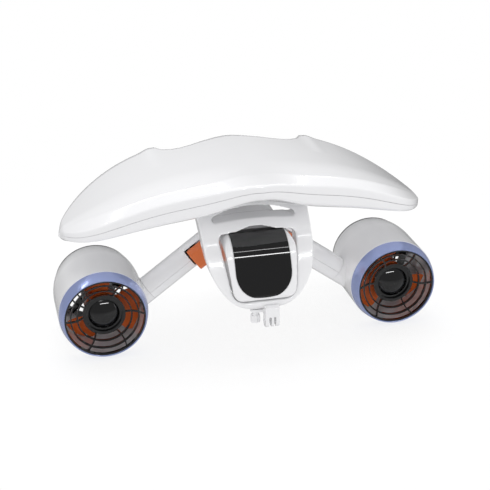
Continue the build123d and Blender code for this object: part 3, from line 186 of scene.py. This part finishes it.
FINISHES: dict[str, Finish] = {
    # Moulded white ABS with a polished skin: bright, with clear studio reflections.
    "white_shell": Finish("gloss_white_abs", "F4F4F5", 0.16, coat=1.0, mottle_mm=60, mottle=0.01,
                          relief_mm=0.006, texture_mm=1.6),
    # Black polycarbonate: deep black with mirror-like highlights.
    "black_gloss": Finish("black_polycarbonate", "060607", 0.05, coat=1.0, mottle=0.1, rough_shift=0.02),
    # Glass-filled nylon: deep black with a dull sheen.
    "black_satin": Finish("black_nylon", "040405", 0.22, mottle=0.08, relief_mm=0.006, ior=1.3),
    # Metallic lacquer on the duct's ring: blue with a soft metal gleam.
    "blue_ring": Finish("periwinkle_metallic_lacquer", "A2B0E0", 0.26, metallic=0.5, coat=0.6, texture_mm=0.3,
                        relief_mm=0.002),
    # Orange ABS of the triggers: warm and half-gloss.
    "trigger_orange": Finish("orange_abs", "E07238", 0.30, coat=0.2, relief_mm=0.01),
    # Orange nylon of the blades: half-gloss, seen in the duct's shade.
    "blade_orange": Finish("orange_nylon", "DE6418", 0.32, coat=0.2, mottle=0.05),
    # Satin lacquer inside the duct: pale grey, with blurred reflections of the blades.
    "liner_grey": Finish("grey_metallic_lacquer", "F2F2F5", 0.18, metallic=0.3, grain=Grain.DRAWN_Y),
    # Ground stainless steel of shafts and screws: bright and streaked.
    "steel": Finish("ground_stainless_steel", "B8B9BC", 0.28, metallic=1.0, grain=Grain.TURNED, mottle_mm=4),
    # Machined aluminium of the motors: pale metal with turning marks.
    "motor_alu": Finish("turned_aluminium", "A9ABAF", 0.36, metallic=1.0, grain=Grain.TURNED, mottle_mm=5),
    # Varnished copper windings: brown and glossy.
    "copper_wound": Finish("varnished_copper", "9A5A2C", 0.3, metallic=0.6, mottle_mm=3, mottle=0.15),
    # Epoxy circuit board: dark green with a dull skin.
    "board_green": Finish("epoxy_board", "12401F", 0.45, mottle=0.08),
    # Nitrile rubber: black and matt.
    "seal_rubber": Finish("nitrile_rubber", "0C0C0C", 0.7, mottle=0.1, relief_mm=0.02),
    # Cable jacket: black, softly shiny.
    "cable_black": Finish("pvc_jacket", "0E0E10", 0.5, mottle=0.1),
    # Heat-shrunk cell sleeve: blue film.
    "cell_sleeve": Finish("blue_shrink_film", "1C4C7C", 0.3, mottle=0.05),
    # Smoked display glass: near black and mirror-smooth.
    "display_glass": Finish("smoked_glass", "0B0D10", 0.04, coat=1.0, mottle=0.05),
    # Grey ABS of the sealed battery case: matt.
    "inner_grey": Finish("grey_abs", "4C4E52", 0.45, relief_mm=0.02),
}


@dataclass
class CadDressing:
    """Gives every CAD node its slot's material."""

    slots: dict[str, str]
    materials: dict[str, bpy.types.Material]

    def apply(self, nodes: dict[str, bpy.types.Object]) -> None:
        """Puts the materials on the nodes.

        Args:
            nodes: CAD node names and their objects.
        """
        for name, piece in nodes.items():
            for slot in piece.material_slots:
                slot.material = self.materials[self.slots[name]]
            log.info("dressed %s as %s", name, self.slots[name])


def in_mm(box: tuple[Vector, Vector]) -> tuple[np.ndarray, np.ndarray]:
    """Turns a CAD node's box into mm.

    Args:
        box: its lowest and its highest corner, in metres.
    Returns:
        Both corners.
    """
    low, high = (np.array(corner) / MM for corner in box)
    return low, high


def shell_mesh(name: str, skins: list[np.ndarray], finish: bpy.types.Material) -> bpy.types.Object:
    """Skins rows of closed rings with quads and caps their ends, as one piece.

    Args:
        name: the piece's name.
        skins: for each skin its points in metres, shaped (stations, points round, 3).
        finish: the piece's material.
    Returns:
        The smooth-shaded object, at the origin, with its faces outwards.
    """
    points, faces, start = [], [], 0
    for rings in skins:
        stations, around = rings.shape[:2]
        row, column = np.meshgrid(np.arange(stations - 1), np.arange(around), indexing="ij")
        after = (column + 1) % around
        quads = np.stack([row * around + column, (row + 1) * around + column, (row + 1) * around + after,
                          row * around + after], axis=-1).reshape(-1, 4) + start
        last = start + (stations - 1) * around
        faces += quads.tolist()
        faces += [list(range(start, start + around)), list(range(last + around - 1, last - 1, -1))]
        points.append(rings.reshape(-1, 3))
        start += stations * around
    mesh = bpy.data.meshes.new(name)
    mesh.from_pydata(np.concatenate(points).tolist(), [], faces)
    editable = bmesh.new()
    editable.from_mesh(mesh)
    bmesh.ops.recalc_face_normals(editable, faces=editable.faces)
    editable.to_mesh(mesh)
    editable.free()
    mesh.polygons.foreach_set("use_smooth", np.ones(len(mesh.polygons), dtype=bool))
    mesh.materials.append(finish)
    mesh.update()
    piece = bpy.data.objects.new(name, mesh)
    bpy.context.scene.collection.objects.link(piece)
    log.info("built %s with %d faces", name, len(mesh.polygons))
    return piece


def rounded_run(corners: np.ndarray, reach: np.ndarray, steps: int = 9, most: float = 0.49) -> np.ndarray:
    """Rounds an open run of corners with parabolas, for many stations at once.

    Each inner corner is replaced by the parabola that leaves the edge before it and joins the edge after
    it at the corner's reach, which is held to just under half of either edge.

    Args:
        corners: control corners, shaped (stations, corners, 2).
        reach: how far each parabola starts from its corner, shaped (stations, corners).
        steps: points on each parabola.
        most: the share of an edge that one parabola may take.
    Returns:
        The rounded runs, shaped (stations, points, 2), ends included.
    """
    edges = np.diff(corners, axis=1)
    lengths = np.linalg.norm(edges, axis=2, keepdims=True)
    along = edges / np.maximum(lengths, TINY_MM)
    limit = most * np.minimum(lengths[:, :-1], lengths[:, 1:])
    pull = np.minimum(reach[:, 1:-1, None], limit)
    middle = corners[:, 1:-1]
    before, behind = middle - pull * along[:, :-1], middle + pull * along[:, 1:]
    before, middle, behind = before[:, :, None], middle[:, :, None], behind[:, :, None]
    t = np.linspace(0, 1, steps)[None, None, :, None]
    bends = before * (1 - t) ** 2 + middle * 2 * t * (1 - t) + behind * t ** 2
    return np.concatenate([corners[:, :1], bends.reshape(len(corners), -1, 2), corners[:, -1:]], axis=1)


def superellipse(t: np.ndarray, powers: tuple[float, float]) -> np.ndarray:
    """Falls from one to nought: one less t to the first power, all to the second power.

    Args:
        t: shares from 0 to 1.
        powers: both powers.
    Returns:
        The values.
    """
    return (1 - t ** powers[0]) ** powers[1]


@dataclass(frozen=True)
class FloaterLines:
    """The floater's lengthwise lines, one value per station along X, in mm.

    Front, rear, crease and middle are places along Y; top is a height; seam, depth, brow and flange are
    falls below the top. Share runs from 0 in the middle to 1 at the tips, closing from 1 to nearly 0.
    """

    x: np.ndarray
    out: np.ndarray
    share: np.ndarray
    closing: np.ndarray
    top: np.ndarray
    front: np.ndarray
    rear: np.ndarray
    seam: np.ndarray
    depth: np.ndarray
    brow: np.ndarray
    crease: np.ndarray
    middle: np.ndarray
    flange: np.ndarray

    def section(self, *corners: tuple[np.ndarray, np.ndarray]) -> np.ndarray:
        """Stacks control corners for every station.

        Args:
            corners: for each corner its place along Y and its fall below the top.
        Returns:
            The corners, shaped (stations, corners, 2).
        """
        return np.stack([np.stack([place, self.top - fall], axis=-1) for place, fall in corners], axis=1)


@dataclass(frozen=True)
class FloaterForm:
    """The floater's two shells, swept along X between the corners of their CAD boxes. Lengths in mm."""

    half_span: float
    front_y: float
    top_z: float
    stations: int = 301
    # The top line: its fall at one distance out, and the power of the distance it falls with.
    droop: float = 45.5
    droop_at: float = 204.0
    droop_power: float = 2.5
    # Seen from above: the front edge's sweep and curl, and the rear rim's reach behind the tips.
    sweep: float = 0.22
    curl: float = 60.0
    curl_power: int = 10
    tip_y: float = 2.5
    tail: float = 113.0
    tail_powers: tuple[float, float] = (4, 0.58)
    least_width: float = 2.0
    # How every small size closes towards the tips: the root of what a power leaves of one, and the least
    # that is left.
    closing_power: int = 6
    least_closing: float = 0.0009
    # The middle's hump over the bracket, and what it takes from or adds to each line.
    hump_width: float = 55.0
    seam_hump: float = 14.0
    depth_hump: float = 8.0
    brow_hump: float = 11.0
    crease_hump: float = 27.0
    flange_hump: float = 0.3
    # Falls below the top: at the tips, and how much more in the middle.
    seam_tip: float = 5.0
    seam_fall: float = 20.0
    seam_powers: tuple[float, float] = (5, 0.9)
    depth_tip: float = 14.0
    depth_fall: float = 36.0
    depth_powers: tuple[float, float] = (4, 0.75)
    brow_fall: float = 12.0
    # The upper crease as a share of the section's width, and the flange as one of its height; both change
    # towards the tips with one power.
    tip_power: int = 5
    crease_share: float = 0.07
    crease_tip: float = 0.28
    crease_fall: float = 0.3
    crown_share: float = 0.45
    flange_share: float = 0.68
    flange_tip: float = 0.3
    # The front edge and the seam.
    seam_gap: float = 0.55
    lip: float = 2.0
    brow_in: float = 0.9
    brow_ease: float = 0.5
    lower_step: float = 0.2
    flange_in: float = 3.0
    # The rear rim: where its rounding starts, its round and the falls of its seam and its hem.
    rim_room: float = 27.0
    rim_run: float = 15.0
    rim_ease: float = 0.3
    rim_round: float = 3.5
    rim_seam: float = 9.0
    hem_in: float = 1.0
    hem_fall: float = 21.0
    # How far each corner's rounding reaches, from the front lip over the top to the rear lip and back below.
    upper_reach: tuple[float, ...] = (0, 0.6, 3.2, 3.2, 60, 60, 14, 6, 0.6, 0)
    lower_reach: tuple[float, ...] = (0, 0.6, 7, 60, 14, 5, 0.6, 0)
    # The blunt ends, and the swell of the rim outside each hand scoop.
    end_share: float = 0.03
    end_close: float = 0.995
    swell: float = 3.0
    swell_at: float = 119.0
    swell_width: float = 9.0
    swell_power: int = 3
    # The rim from the middle round one hand scoop: distance out and place along Y.
    scoop_rim: tuple[tuple[float, float], ...] = (
        (0, 117.5), (20, 110.5), (40, 100.5), (60, 90.5), (75, 86.5), (88, 88.5), (100, 97.5), (107, 110.5),
        (112, 140.0))
    scoop_steps: int = 400
    scoop_blur: int = 15
    unscooped: float = 1e3

    def lines(self) -> FloaterLines:
        """Works out the lengthwise lines.

        The top falls as a power of the distance out. The front edge runs back linearly and curls as a
        high power; the rear rim closes as a superellipse. Seam, depth and brow shrink to the tips as
        superellipses too, and a bell-shaped hump lifts them in the middle over the bracket.

        Returns:
            The lines.
        """
        x = self.half_span * np.sin(np.linspace(-np.pi / 2, np.pi / 2, self.stations))
        out = np.abs(x)
        t = np.minimum(out / self.half_span, 1)
        closing = np.sqrt(np.maximum(1 - t ** self.closing_power, self.least_closing))
        hump = np.exp(-(out / self.hump_width) ** 2)
        front = self.front_y + self.sweep * out + self.curl * t ** self.curl_power
        tail = self.tip_y + self.tail * superellipse(t, self.tail_powers)
        rear = np.maximum(tail, front + self.least_width)
        seam = self.seam_tip + self.seam_fall * superellipse(t, self.seam_powers) - self.seam_hump * hump
        depth = self.depth_tip + self.depth_fall * superellipse(t, self.depth_powers) - self.depth_hump * hump
        to_tip = t ** self.tip_power
        crease_share = self.crease_share + self.crease_tip * to_tip
        crease = front + (rear - front) * crease_share + self.crease_hump * hump
        flange_share = self.flange_share - self.flange_hump * hump - self.flange_tip * to_tip
        return FloaterLines(
            x=x, out=out, share=t, closing=closing,
            top=self.top_z - self.droop * (out / self.droop_at) ** self.droop_power,
            front=front, rear=rear, seam=seam, depth=depth,
            brow=self.brow_fall * closing ** 2 - self.brow_hump * hump,
            crease=crease, middle=(crease + rear - self.rim_room * closing) / 2,
            flange=seam + (depth - seam) * flange_share,
        )

    def upper(self, lines: FloaterLines) -> np.ndarray:
        """Sets the upper shell's corners: lip and brow, a sloping strip up to the crease, the crown, the rim.

        Args:
            lines: the lengthwise lines.
        Returns:
            The corners, shaped (stations, corners, 2).
        """
        k, front, rear = lines.closing, lines.front, lines.rear
        lip, level, edge = self.lip * k, lines.seam - self.seam_gap / 2, self.rim_seam * k - self.seam_gap / 2
        return lines.section(
            (front + lip, level), (front, level), (front + self.brow_in * k, lines.brow + self.brow_ease * k),
            (lines.crease, self.crease_fall * lines.brow),
            (lines.crease + self.crown_share * (lines.middle - lines.crease), 0 * k), (lines.middle, 0 * k),
            (rear - self.rim_run * k, self.rim_ease * k), (rear - self.rim_round * k, self.rim_round * k),
            (rear, edge), (rear - lip, edge),
        )

    def lower(self, lines: FloaterLines) -> np.ndarray:
        """Sets the lower shell's corners: the rim's hem, the rising underside, the flange, the front seam.

        Args:
            lines: the lengthwise lines.
        Returns:
            The corners, shaped (stations, corners, 2).
        """
        k, front, rear = lines.closing, lines.front, lines.rear
        lip, level, edge = self.lip * k, lines.seam + self.seam_gap / 2, self.rim_seam * k + self.seam_gap / 2
        hem = self.hem_fall * k
        return lines.section(
            (rear - lip, edge), (rear, edge), (rear - self.hem_in * k, hem),
            (lines.middle, (lines.depth + hem) / 2), (lines.crease + self.flange_in * k, lines.depth),
            (front + self.flange_in * k, lines.flange), (front + self.lower_step, level),
            (front + lip, level),
        )

    def shells(self, finish: bpy.types.Material) -> tuple[bpy.types.Object, bpy.types.Object]:
        """Builds both shells.

        Args:
            finish: the shells' material.
        Returns:
            The upper and the lower shell.
        """
        lines = self.lines()
        return (self.skin("floater_upper_skin", lines, self.upper(lines), self.upper_reach, finish),
                self.skin("floater_lower_skin", lines, self.lower(lines), self.lower_reach, finish))

    def skin(self, name: str, lines: FloaterLines, corners: np.ndarray, reach: tuple[float, ...],
             finish: bpy.types.Material) -> bpy.types.Object:
        """Rounds one shell's sections, shapes its rim and its ends and skins it.

        The rim swells by a bell curve outside each scoop. At each end the sections shrink about their
        heart as a quarter circle, so the tip is blunt and round.

        Args:
            name: the piece's name.
            lines: the lengthwise lines.
            corners: the sections' corners.
            reach: how far each corner's rounding reaches.
            finish: the shell's material.
        Returns:
            The shell.
        """
        run = rounded_run(corners, np.array(reach) * lines.closing[:, None] ** 0.5)
        middle, rear = lines.middle[:, None], lines.rear[:, None]
        rearward = np.clip((run[..., 0] - middle) / np.maximum(rear - middle, TINY_MM), 0, 1)
        bell = np.exp(-((lines.out[:, None] - self.swell_at) / self.swell_width) ** 2)
        run[..., 1] += self.swell * bell * rearward ** self.swell_power
        run[..., 0] -= rearward * (rear - np.minimum(rear, self.rim_limit(lines.out)[:, None]))
        heart = np.stack([(lines.front + lines.rear) / 2, lines.top - lines.depth / 2], axis=-1)[:, None]
        past = np.clip((lines.share - 1 + self.end_share) / self.end_share, 0, self.end_close)
        run = heart + (run - heart) * np.sqrt(1 - past ** 2)[:, None, None]
        x = np.broadcast_to(lines.x[:, None, None], (*run.shape[:2], 1))
        return shell_mesh(name, [np.concatenate([x, run], axis=-1) * MM], finish)

    def rim_limit(self, out: np.ndarray) -> np.ndarray:
        """Draws the rear rim through the hand scoops, smoothed by a sliding bell.

        Args:
            out: distances from the middle.
        Returns:
            How far back the rim may lie at each.
        """
        at, rim = np.array(self.scoop_rim).T
        fine = np.linspace(0, at[-1], self.scoop_steps)
        kernel = np.hanning(self.scoop_blur)
        padded = np.pad(np.interp(fine, at, rim), self.scoop_blur // 2, mode="edge")
        smooth = np.convolve(padded, kernel / kernel.sum(), mode="valid")
        return np.where(out < at[-1], np.interp(out, fine, smooth), self.unscooped)


class Hand(Enum):
    """Which way round a propeller is built: the sign of its points' X."""

    LEFT = -1
    RIGHT = 1


@dataclass(frozen=True)
class Propeller:
    """A ducted propeller: a hub with a rounded nose and blades whose tips follow the duct. Lengths in mm."""

    hand: Hand
    phase_deg: float
    motor_gap: float = 2.0
    hub_r: float = 23.0
    half_length: float = 13.0
    bore_r: float = 4.1
    hub_round: float = 1.5
    hub_wall: float = 2.6
    hub_web: float = 3.0
    blades: int = 3
    blade_root: float = 1.2
    tip_r: float = 54.6
    thick: float = 2.6
    tip_thinning: float = 0.45
    # From root to tip: shares of the blade's length, chords and degrees from the disc's plane.
    shares: tuple[float, ...] = (0, 0.45, 0.8, 1)
    chords: tuple[float, ...] = (35, 52, 62, 60)
    pitches_deg: tuple[float, ...] = (48, 32, 25, 21)
    rows: int = 28
    blade_around: int = 48
    hub_around: int = 96

    def build(self, name: str, shaft: np.ndarray, motor_y: float,
              finish: bpy.types.Material) -> bpy.types.Object:
        """Builds the hub and blades as one piece, in front of the motor.

        A left-hand one is the mirror image of a right-hand one, with its rings reversed.

        Args:
            name: the piece's name.
            shaft: a point on the shaft's line, which runs along Y.
            motor_y: where the motor starts.
            finish: the piece's material.
        Returns:
            The piece.
        """
        centre = np.array([shaft[0], motor_y - self.motor_gap - self.half_length, shaft[2]])
        turns = np.arange(self.blades) * 2 * np.pi / self.blades + math.radians(self.phase_deg)
        side = self.hand.value
        skins = [(skin * (side, 1, 1))[:, ::side] for skin in (*map(self.blade, turns), self.hub())]
        return shell_mesh(name, [(skin + centre) * MM for skin in skins], finish)

    def blade(self, turn: float) -> np.ndarray:
        """Works out one blade.

        Its section at radius r lies on the cylinder of that radius: it runs along a chord that leans by
        the pitch, and is a lens across it, so the tip is an arc at one distance from the duct.

        Args:
            turn: the blade's angle round the shaft.
        Returns:
            The blade's rings.
        """
        r = np.linspace(self.hub_r - self.blade_root, self.tip_r, self.rows)
        share = (r - r[0]) / (r[-1] - r[0])
        chord = np.interp(share, self.shares, self.chords)
        pitch = np.radians(np.interp(share, self.shares, self.pitches_deg))[:, None]
        around = np.linspace(0, 2 * np.pi, self.blade_around, endpoint=False)
        along = chord[:, None] / 2 * np.cos(around)
        over = self.thick / 2 * np.sin(around) * (1 - self.tip_thinning * share[:, None])
        across = along * np.cos(pitch) - over * np.sin(pitch)
        back = along * np.sin(pitch) + over * np.cos(pitch)
        angle = turn + across / r[:, None]
        return np.stack([r[:, None] * np.cos(angle), back, -r[:, None] * np.sin(angle)], axis=-1)

    def hub(self) -> np.ndarray:
        """Turns the hub's profile round the shaft: a web with a bore in front and a wall behind it.

        Returns:
            The hub's rings.
        """
        front, inner = -self.half_length, self.hub_r - self.hub_wall
        radius, depth = np.array([
            (self.bore_r, front), (self.hub_r - self.hub_round, front), (self.hub_r, front + self.hub_round),
            (self.hub_r, -front), (inner, -front), (inner, front + self.hub_web),
            (self.bore_r, front + self.hub_web),
        ]).T[:, :, None]
        angle = np.linspace(0, 2 * np.pi, self.hub_around, endpoint=False)
        return np.stack([radius * np.cos(angle), depth + 0 * angle, radius * np.sin(angle)], axis=-1)


PROPELLERS: dict[str, Propeller] = {"left": Propeller(Hand.LEFT, 47.0), "right": Propeller(Hand.RIGHT, 33.0)}


@dataclass(frozen=True)
class LatchSpring:
    """The latch's compression spring: a round wire wound between the ends of its CAD box. Lengths in mm."""

    wire_r: float = 0.5
    coil_r: float = 3.0
    turns: int = 4
    turn_steps: int = 48
    wire_around: int = 12
    joint: str = "latch_press"

    def build(self, low: np.ndarray, high: np.ndarray, finish: bpy.types.Material) -> bpy.types.Object:
        """Sweeps the wire's circle along a helix, in the plane across the wire.

        Args:
            low: the lowest corner of the spring's box.
            high: its highest corner.
            finish: the spring's material.
        Returns:
            The spring.
        """
        angle = np.linspace(0, 2 * np.pi * self.turns, self.turn_steps * self.turns + 1)
        climb = (high[2] - low[2] - 2 * self.wire_r) / angle[-1]
        foot = np.array([*(low + high)[:2] / 2, low[2] + self.wire_r])
        outward = np.stack([np.cos(angle), np.sin(angle), 0 * angle], axis=-1)
        path = foot + self.coil_r * outward + climb * angle[:, None] * np.array([0, 0, 1])
        sideways = np.stack([-np.sin(angle), np.cos(angle), 0 * angle], axis=-1)
        along = self.coil_r * sideways + np.array([0, 0, climb])
        along /= np.linalg.norm(along, axis=-1, keepdims=True)
        across = np.cross(along, outward)
        turn = np.linspace(0, 2 * np.pi, self.wire_around, endpoint=False)[:, None]
        wire = self.wire_r * (np.cos(turn) * outward[:, None] + np.sin(turn) * across[:, None])
        return shell_mesh("latch_spring_wire", [(path[:, None] + wire) * MM], finish)


@dataclass(frozen=True)
class SoftEdges:
    """Rounds a moulded CAD piece's edges: a fine rebuild of its skin, then smoothing."""

    voxel_mm: float
    passes: int
    ease: float = 0.5

    def apply(self, piece: bpy.types.Object) -> None:
        """Adds the modifiers.

        Args:
            piece: the CAD node's object.
        """
        skin = piece.modifiers.new("skin", "REMESH")
        skin.mode = "VOXEL"
        skin.voxel_size = self.voxel_mm * MM
        skin.use_smooth_shade = True
        ease = piece.modifiers.new("ease", "SMOOTH")
        ease.factor = self.ease
        ease.iterations = self.passes
        log.info("softened %s", piece.name)


SOFTENED: dict[str, SoftEdges] = {
    "floater_bracket": SoftEdges(1.2, 12),
    "nose_cap": SoftEdges(1.2, 10),
    "camera_mount": SoftEdges(0.5, 4),
    "thumbscrew": SoftEdges(0.4, 3),
    "trigger_left": SoftEdges(0.6, 5),
    "trigger_right": SoftEdges(0.6, 5),
}


class Role(Enum):
    """What a lamp does: fill matt colour only, or draw highlights only."""

    FILL = "fill"
    SHEEN = "sheen"


@dataclass(frozen=True)
class SoftBox:
    """One large lamp: where it stands, how big it is and how bright, in metres and watts."""

    name: str
    place: tuple[float, float, float]
    size: tuple[float, float]
    power: float
    role: Role

    def build(self, aim: Vector) -> None:
        """Makes the lamp, turned towards the subject.

        Args:
            aim: the point it faces.
        """
        light = bpy.data.lights.new(self.name, "AREA")
        light.shape = "RECTANGLE"
        light.size, light.size_y = self.size
        light.energy = self.power
        lamp = bpy.data.objects.new(self.name, light)
        bpy.context.scene.collection.objects.link(lamp)
        lamp.location = self.place
        lamp.rotation_euler = (aim - Vector(self.place)).to_track_quat("-Z", "Y").to_euler()
        lamp.visible_diffuse = self.role is not Role.SHEEN
        lamp.visible_glossy = self.role is not Role.FILL


@dataclass(frozen=True)
class Studio:
    """The pale floor, the soft lamps, the white backdrop and the camera."""

    camera_mm: tuple[float, float, float] = (-366.42, -1577.22, 823.33)
    aim_mm: tuple[float, float, float] = (-13.19, -57.5, 151.79)
    roll_deg: float = -0.59
    lens_mm: float = 90.93
    sensor_mm: float = 36.0
    clip_m: float = 0.05
    white: str = "FFFFFF"
    room: str = "E9E9EA"
    room_strength: float = 1.04
    mirrored_strength: float = 0.27
    floor_half_m: float = 4.0
    card_cover: float = 0.22
    card_fade_m: tuple[float, float] = (0.25, 0.75)
    boxes: tuple[SoftBox, ...] = (
        SoftBox("overhead_softbox", (-0.1, 0.2, 1.6), (1.2, 0.8), 8.0, Role.FILL),
        SoftBox("left_softbox", (-1.5, -0.5, 0.15), (0.9, 0.3), 1.5, Role.FILL),
        SoftBox("right_softbox", (1.5, -0.5, 0.2), (0.9, 0.4), 3.0, Role.FILL),
        SoftBox("front_softbox", (0.1, -1.9, 0.7), (1.6, 0.6), 2.0, Role.FILL),
        SoftBox("rear_strip", (-0.1, 0.95, 1.45), (2.6, 0.08), 9.0, Role.SHEEN),
        SoftBox("brow_strip", (0.1, -1.05, 1.7), (2.2, 0.04), 2.0, Role.SHEEN),
        SoftBox("front_strip", (0.1, -1.45, 1.32), (1.5, 0.07), 5.5, Role.SHEEN),
    )

    def build(self) -> None:
        """Builds the stage and the camera."""
        aim = Vector(self.aim_mm) * MM
        for box in self.boxes:
            box.build(aim)
        self.backdrop()
        self.floor()
        self.camera(aim)
        log.info("built the studio with %d lamps", len(self.boxes))

    def backdrop(self) -> None:
        """White to the camera, a soft bright room to matt surfaces and a dimmer one in reflections."""
        world = bpy.data.worlds.new("studio")
        bpy.context.scene.world = world
        world.use_nodes = True
        tree = world.node_tree
        tree.nodes.clear()
        room, mirrored, white = (
            node(tree, "ShaderNodeBackground", {"Color": linear(colour), "Strength": strength})
            for colour, strength in (
                (self.room, self.room_strength), (self.room, self.mirrored_strength), (self.white, 1.0)))
        ray = node(tree, "ShaderNodeLightPath", {})
        unseen = node(tree, "ShaderNodeMixShader", {
            "Fac": ray.outputs["Is Glossy Ray"], 1: room.outputs["Background"],
            2: mirrored.outputs["Background"]})
        pick = node(tree, "ShaderNodeMixShader", {
            "Fac": ray.outputs["Is Camera Ray"], 1: unseen.outputs["Shader"],
            2: white.outputs["Background"]})
        node(tree, "ShaderNodeOutputWorld", {"Surface": pick.outputs["Shader"]})

    def floor(self) -> None:
        """A plain pale floor that fades into the backdrop and keeps the object's soft shadow."""
        half = self.floor_half_m
        corners = [(-half, -half, 0), (half, -half, 0), (half, half, 0), (-half, half, 0)]
        mesh = bpy.data.meshes.new("floor")
        mesh.from_pydata(corners, [], [(0, 1, 2, 3)])
        mesh.materials.append(self.card())
        floor = bpy.data.objects.new("floor", mesh)
        bpy.context.scene.collection.objects.link(floor)

    def card(self) -> bpy.types.Material:
        """Makes the floor's white card.

        It is matt, and mostly lost in the white behind it, so that only the shadow tells.

        Returns:
            The material.
        """
        card = bpy.data.materials.new("white_card")
        card.use_nodes = True
        tree = card.node_tree
        tree.nodes.clear()
        paper = node(tree, "ShaderNodeBsdfDiffuse", {"Color": linear(self.white)})
        clear = node(tree, "ShaderNodeBsdfTransparent", {})
        where = node(tree, "ShaderNodeTexCoord", {})
        reach = node(tree, "ShaderNodeVectorMath", {0: where.outputs["Object"]}, operation="LENGTH")
        near, far = self.card_fade_m
        fade = node(tree, "ShaderNodeMapRange", {
            "Value": reach.outputs["Value"], "From Min": near, "From Max": far,
            "To Min": self.card_cover, "To Max": 0.0})
        blend = node(tree, "ShaderNodeMixShader", {
            "Fac": fade.outputs["Result"], 1: clear.outputs["BSDF"], 2: paper.outputs["BSDF"]})
        node(tree, "ShaderNodeOutputMaterial", {"Surface": blend.outputs["Shader"]})
        return card

    def camera(self, aim: Vector) -> None:
        """Stands the camera where the view was taken from.

        Args:
            aim: the point it looks at.
        """
        lens = bpy.data.cameras.new("camera")
        lens.lens = self.lens_mm
        lens.sensor_width = self.sensor_mm
        lens.clip_start = self.clip_m
        camera = bpy.data.objects.new("camera", lens)
        bpy.context.scene.collection.objects.link(camera)
        place = Vector(self.camera_mm) * MM
        look = (aim - place).to_track_quat("-Z", "Y").to_matrix().to_4x4()
        roll = Matrix.Rotation(math.radians(self.roll_deg), 4, "Z")
        camera.matrix_world = Matrix.Translation(place) @ look @ roll
        bpy.context.scene.camera = camera


def floater(finish: bpy.types.Material) -> None:
    """Replaces the CAD float shells with finely skinned ones.

    Args:
        finish: the shells' material.
    """
    low, high = in_mm(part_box("floater_upper_shell"))
    form = FloaterForm(half_span=high[0], front_y=low[1] + FRONT_INSET, top_z=high[2] - TOP_INSET)
    upper, lower = form.shells(finish)
    for piece, cad in ((upper, "floater_upper_shell"), (lower, "floater_lower_shell")):
        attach(piece, "floater")
        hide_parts(cad)


def propellers(finish: bpy.types.Material) -> None:
    """Replaces the CAD propellers.

    Args:
        finish: the blades' material.
    """
    for side, form in PROPELLERS.items():
        rotor_low, rotor_high = in_mm(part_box(f"motor_rotor_{side}"))
        can_low, _ = in_mm(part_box(f"motor_can_{side}"))
        piece = form.build(f"propeller_skin_{side}", (rotor_low + rotor_high) / 2, can_low[1], finish)
        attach(piece, f"propeller_{side}")
        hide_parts(f"propeller_{side}")


def latch_spring(finish: bpy.types.Material) -> None:
    """Replaces the latch's CAD spring by a wire spring wound in its box.

    Args:
        finish: the spring's material.
    """
    low, high = in_mm(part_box("latch_spring"))
    form = LatchSpring()
    piece = form.build(low, high, finish)
    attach(piece, "scooter")
    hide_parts("latch_spring")
    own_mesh(piece)


def main() -> None:
    """Dresses the frame, builds the refined pieces and the studio."""
    record = frame["record"]
    slots = {entry["node"]: entry["material_slot"] for entry in record["subparts"]}
    materials = {slot: finish.build() for slot, finish in FINISHES.items()}
    CadDressing(slots, materials).apply(frame["nodes"])
    floater(materials["white_shell"])
    propellers(materials["blade_orange"])
    latch_spring(materials["steel"])
    for name, edges in SOFTENED.items():
        edges.apply(frame["nodes"][name])
    Studio().build()
    bpy.context.scene.view_settings.view_transform = "Standard"


if __name__ == "__main__":
    main()
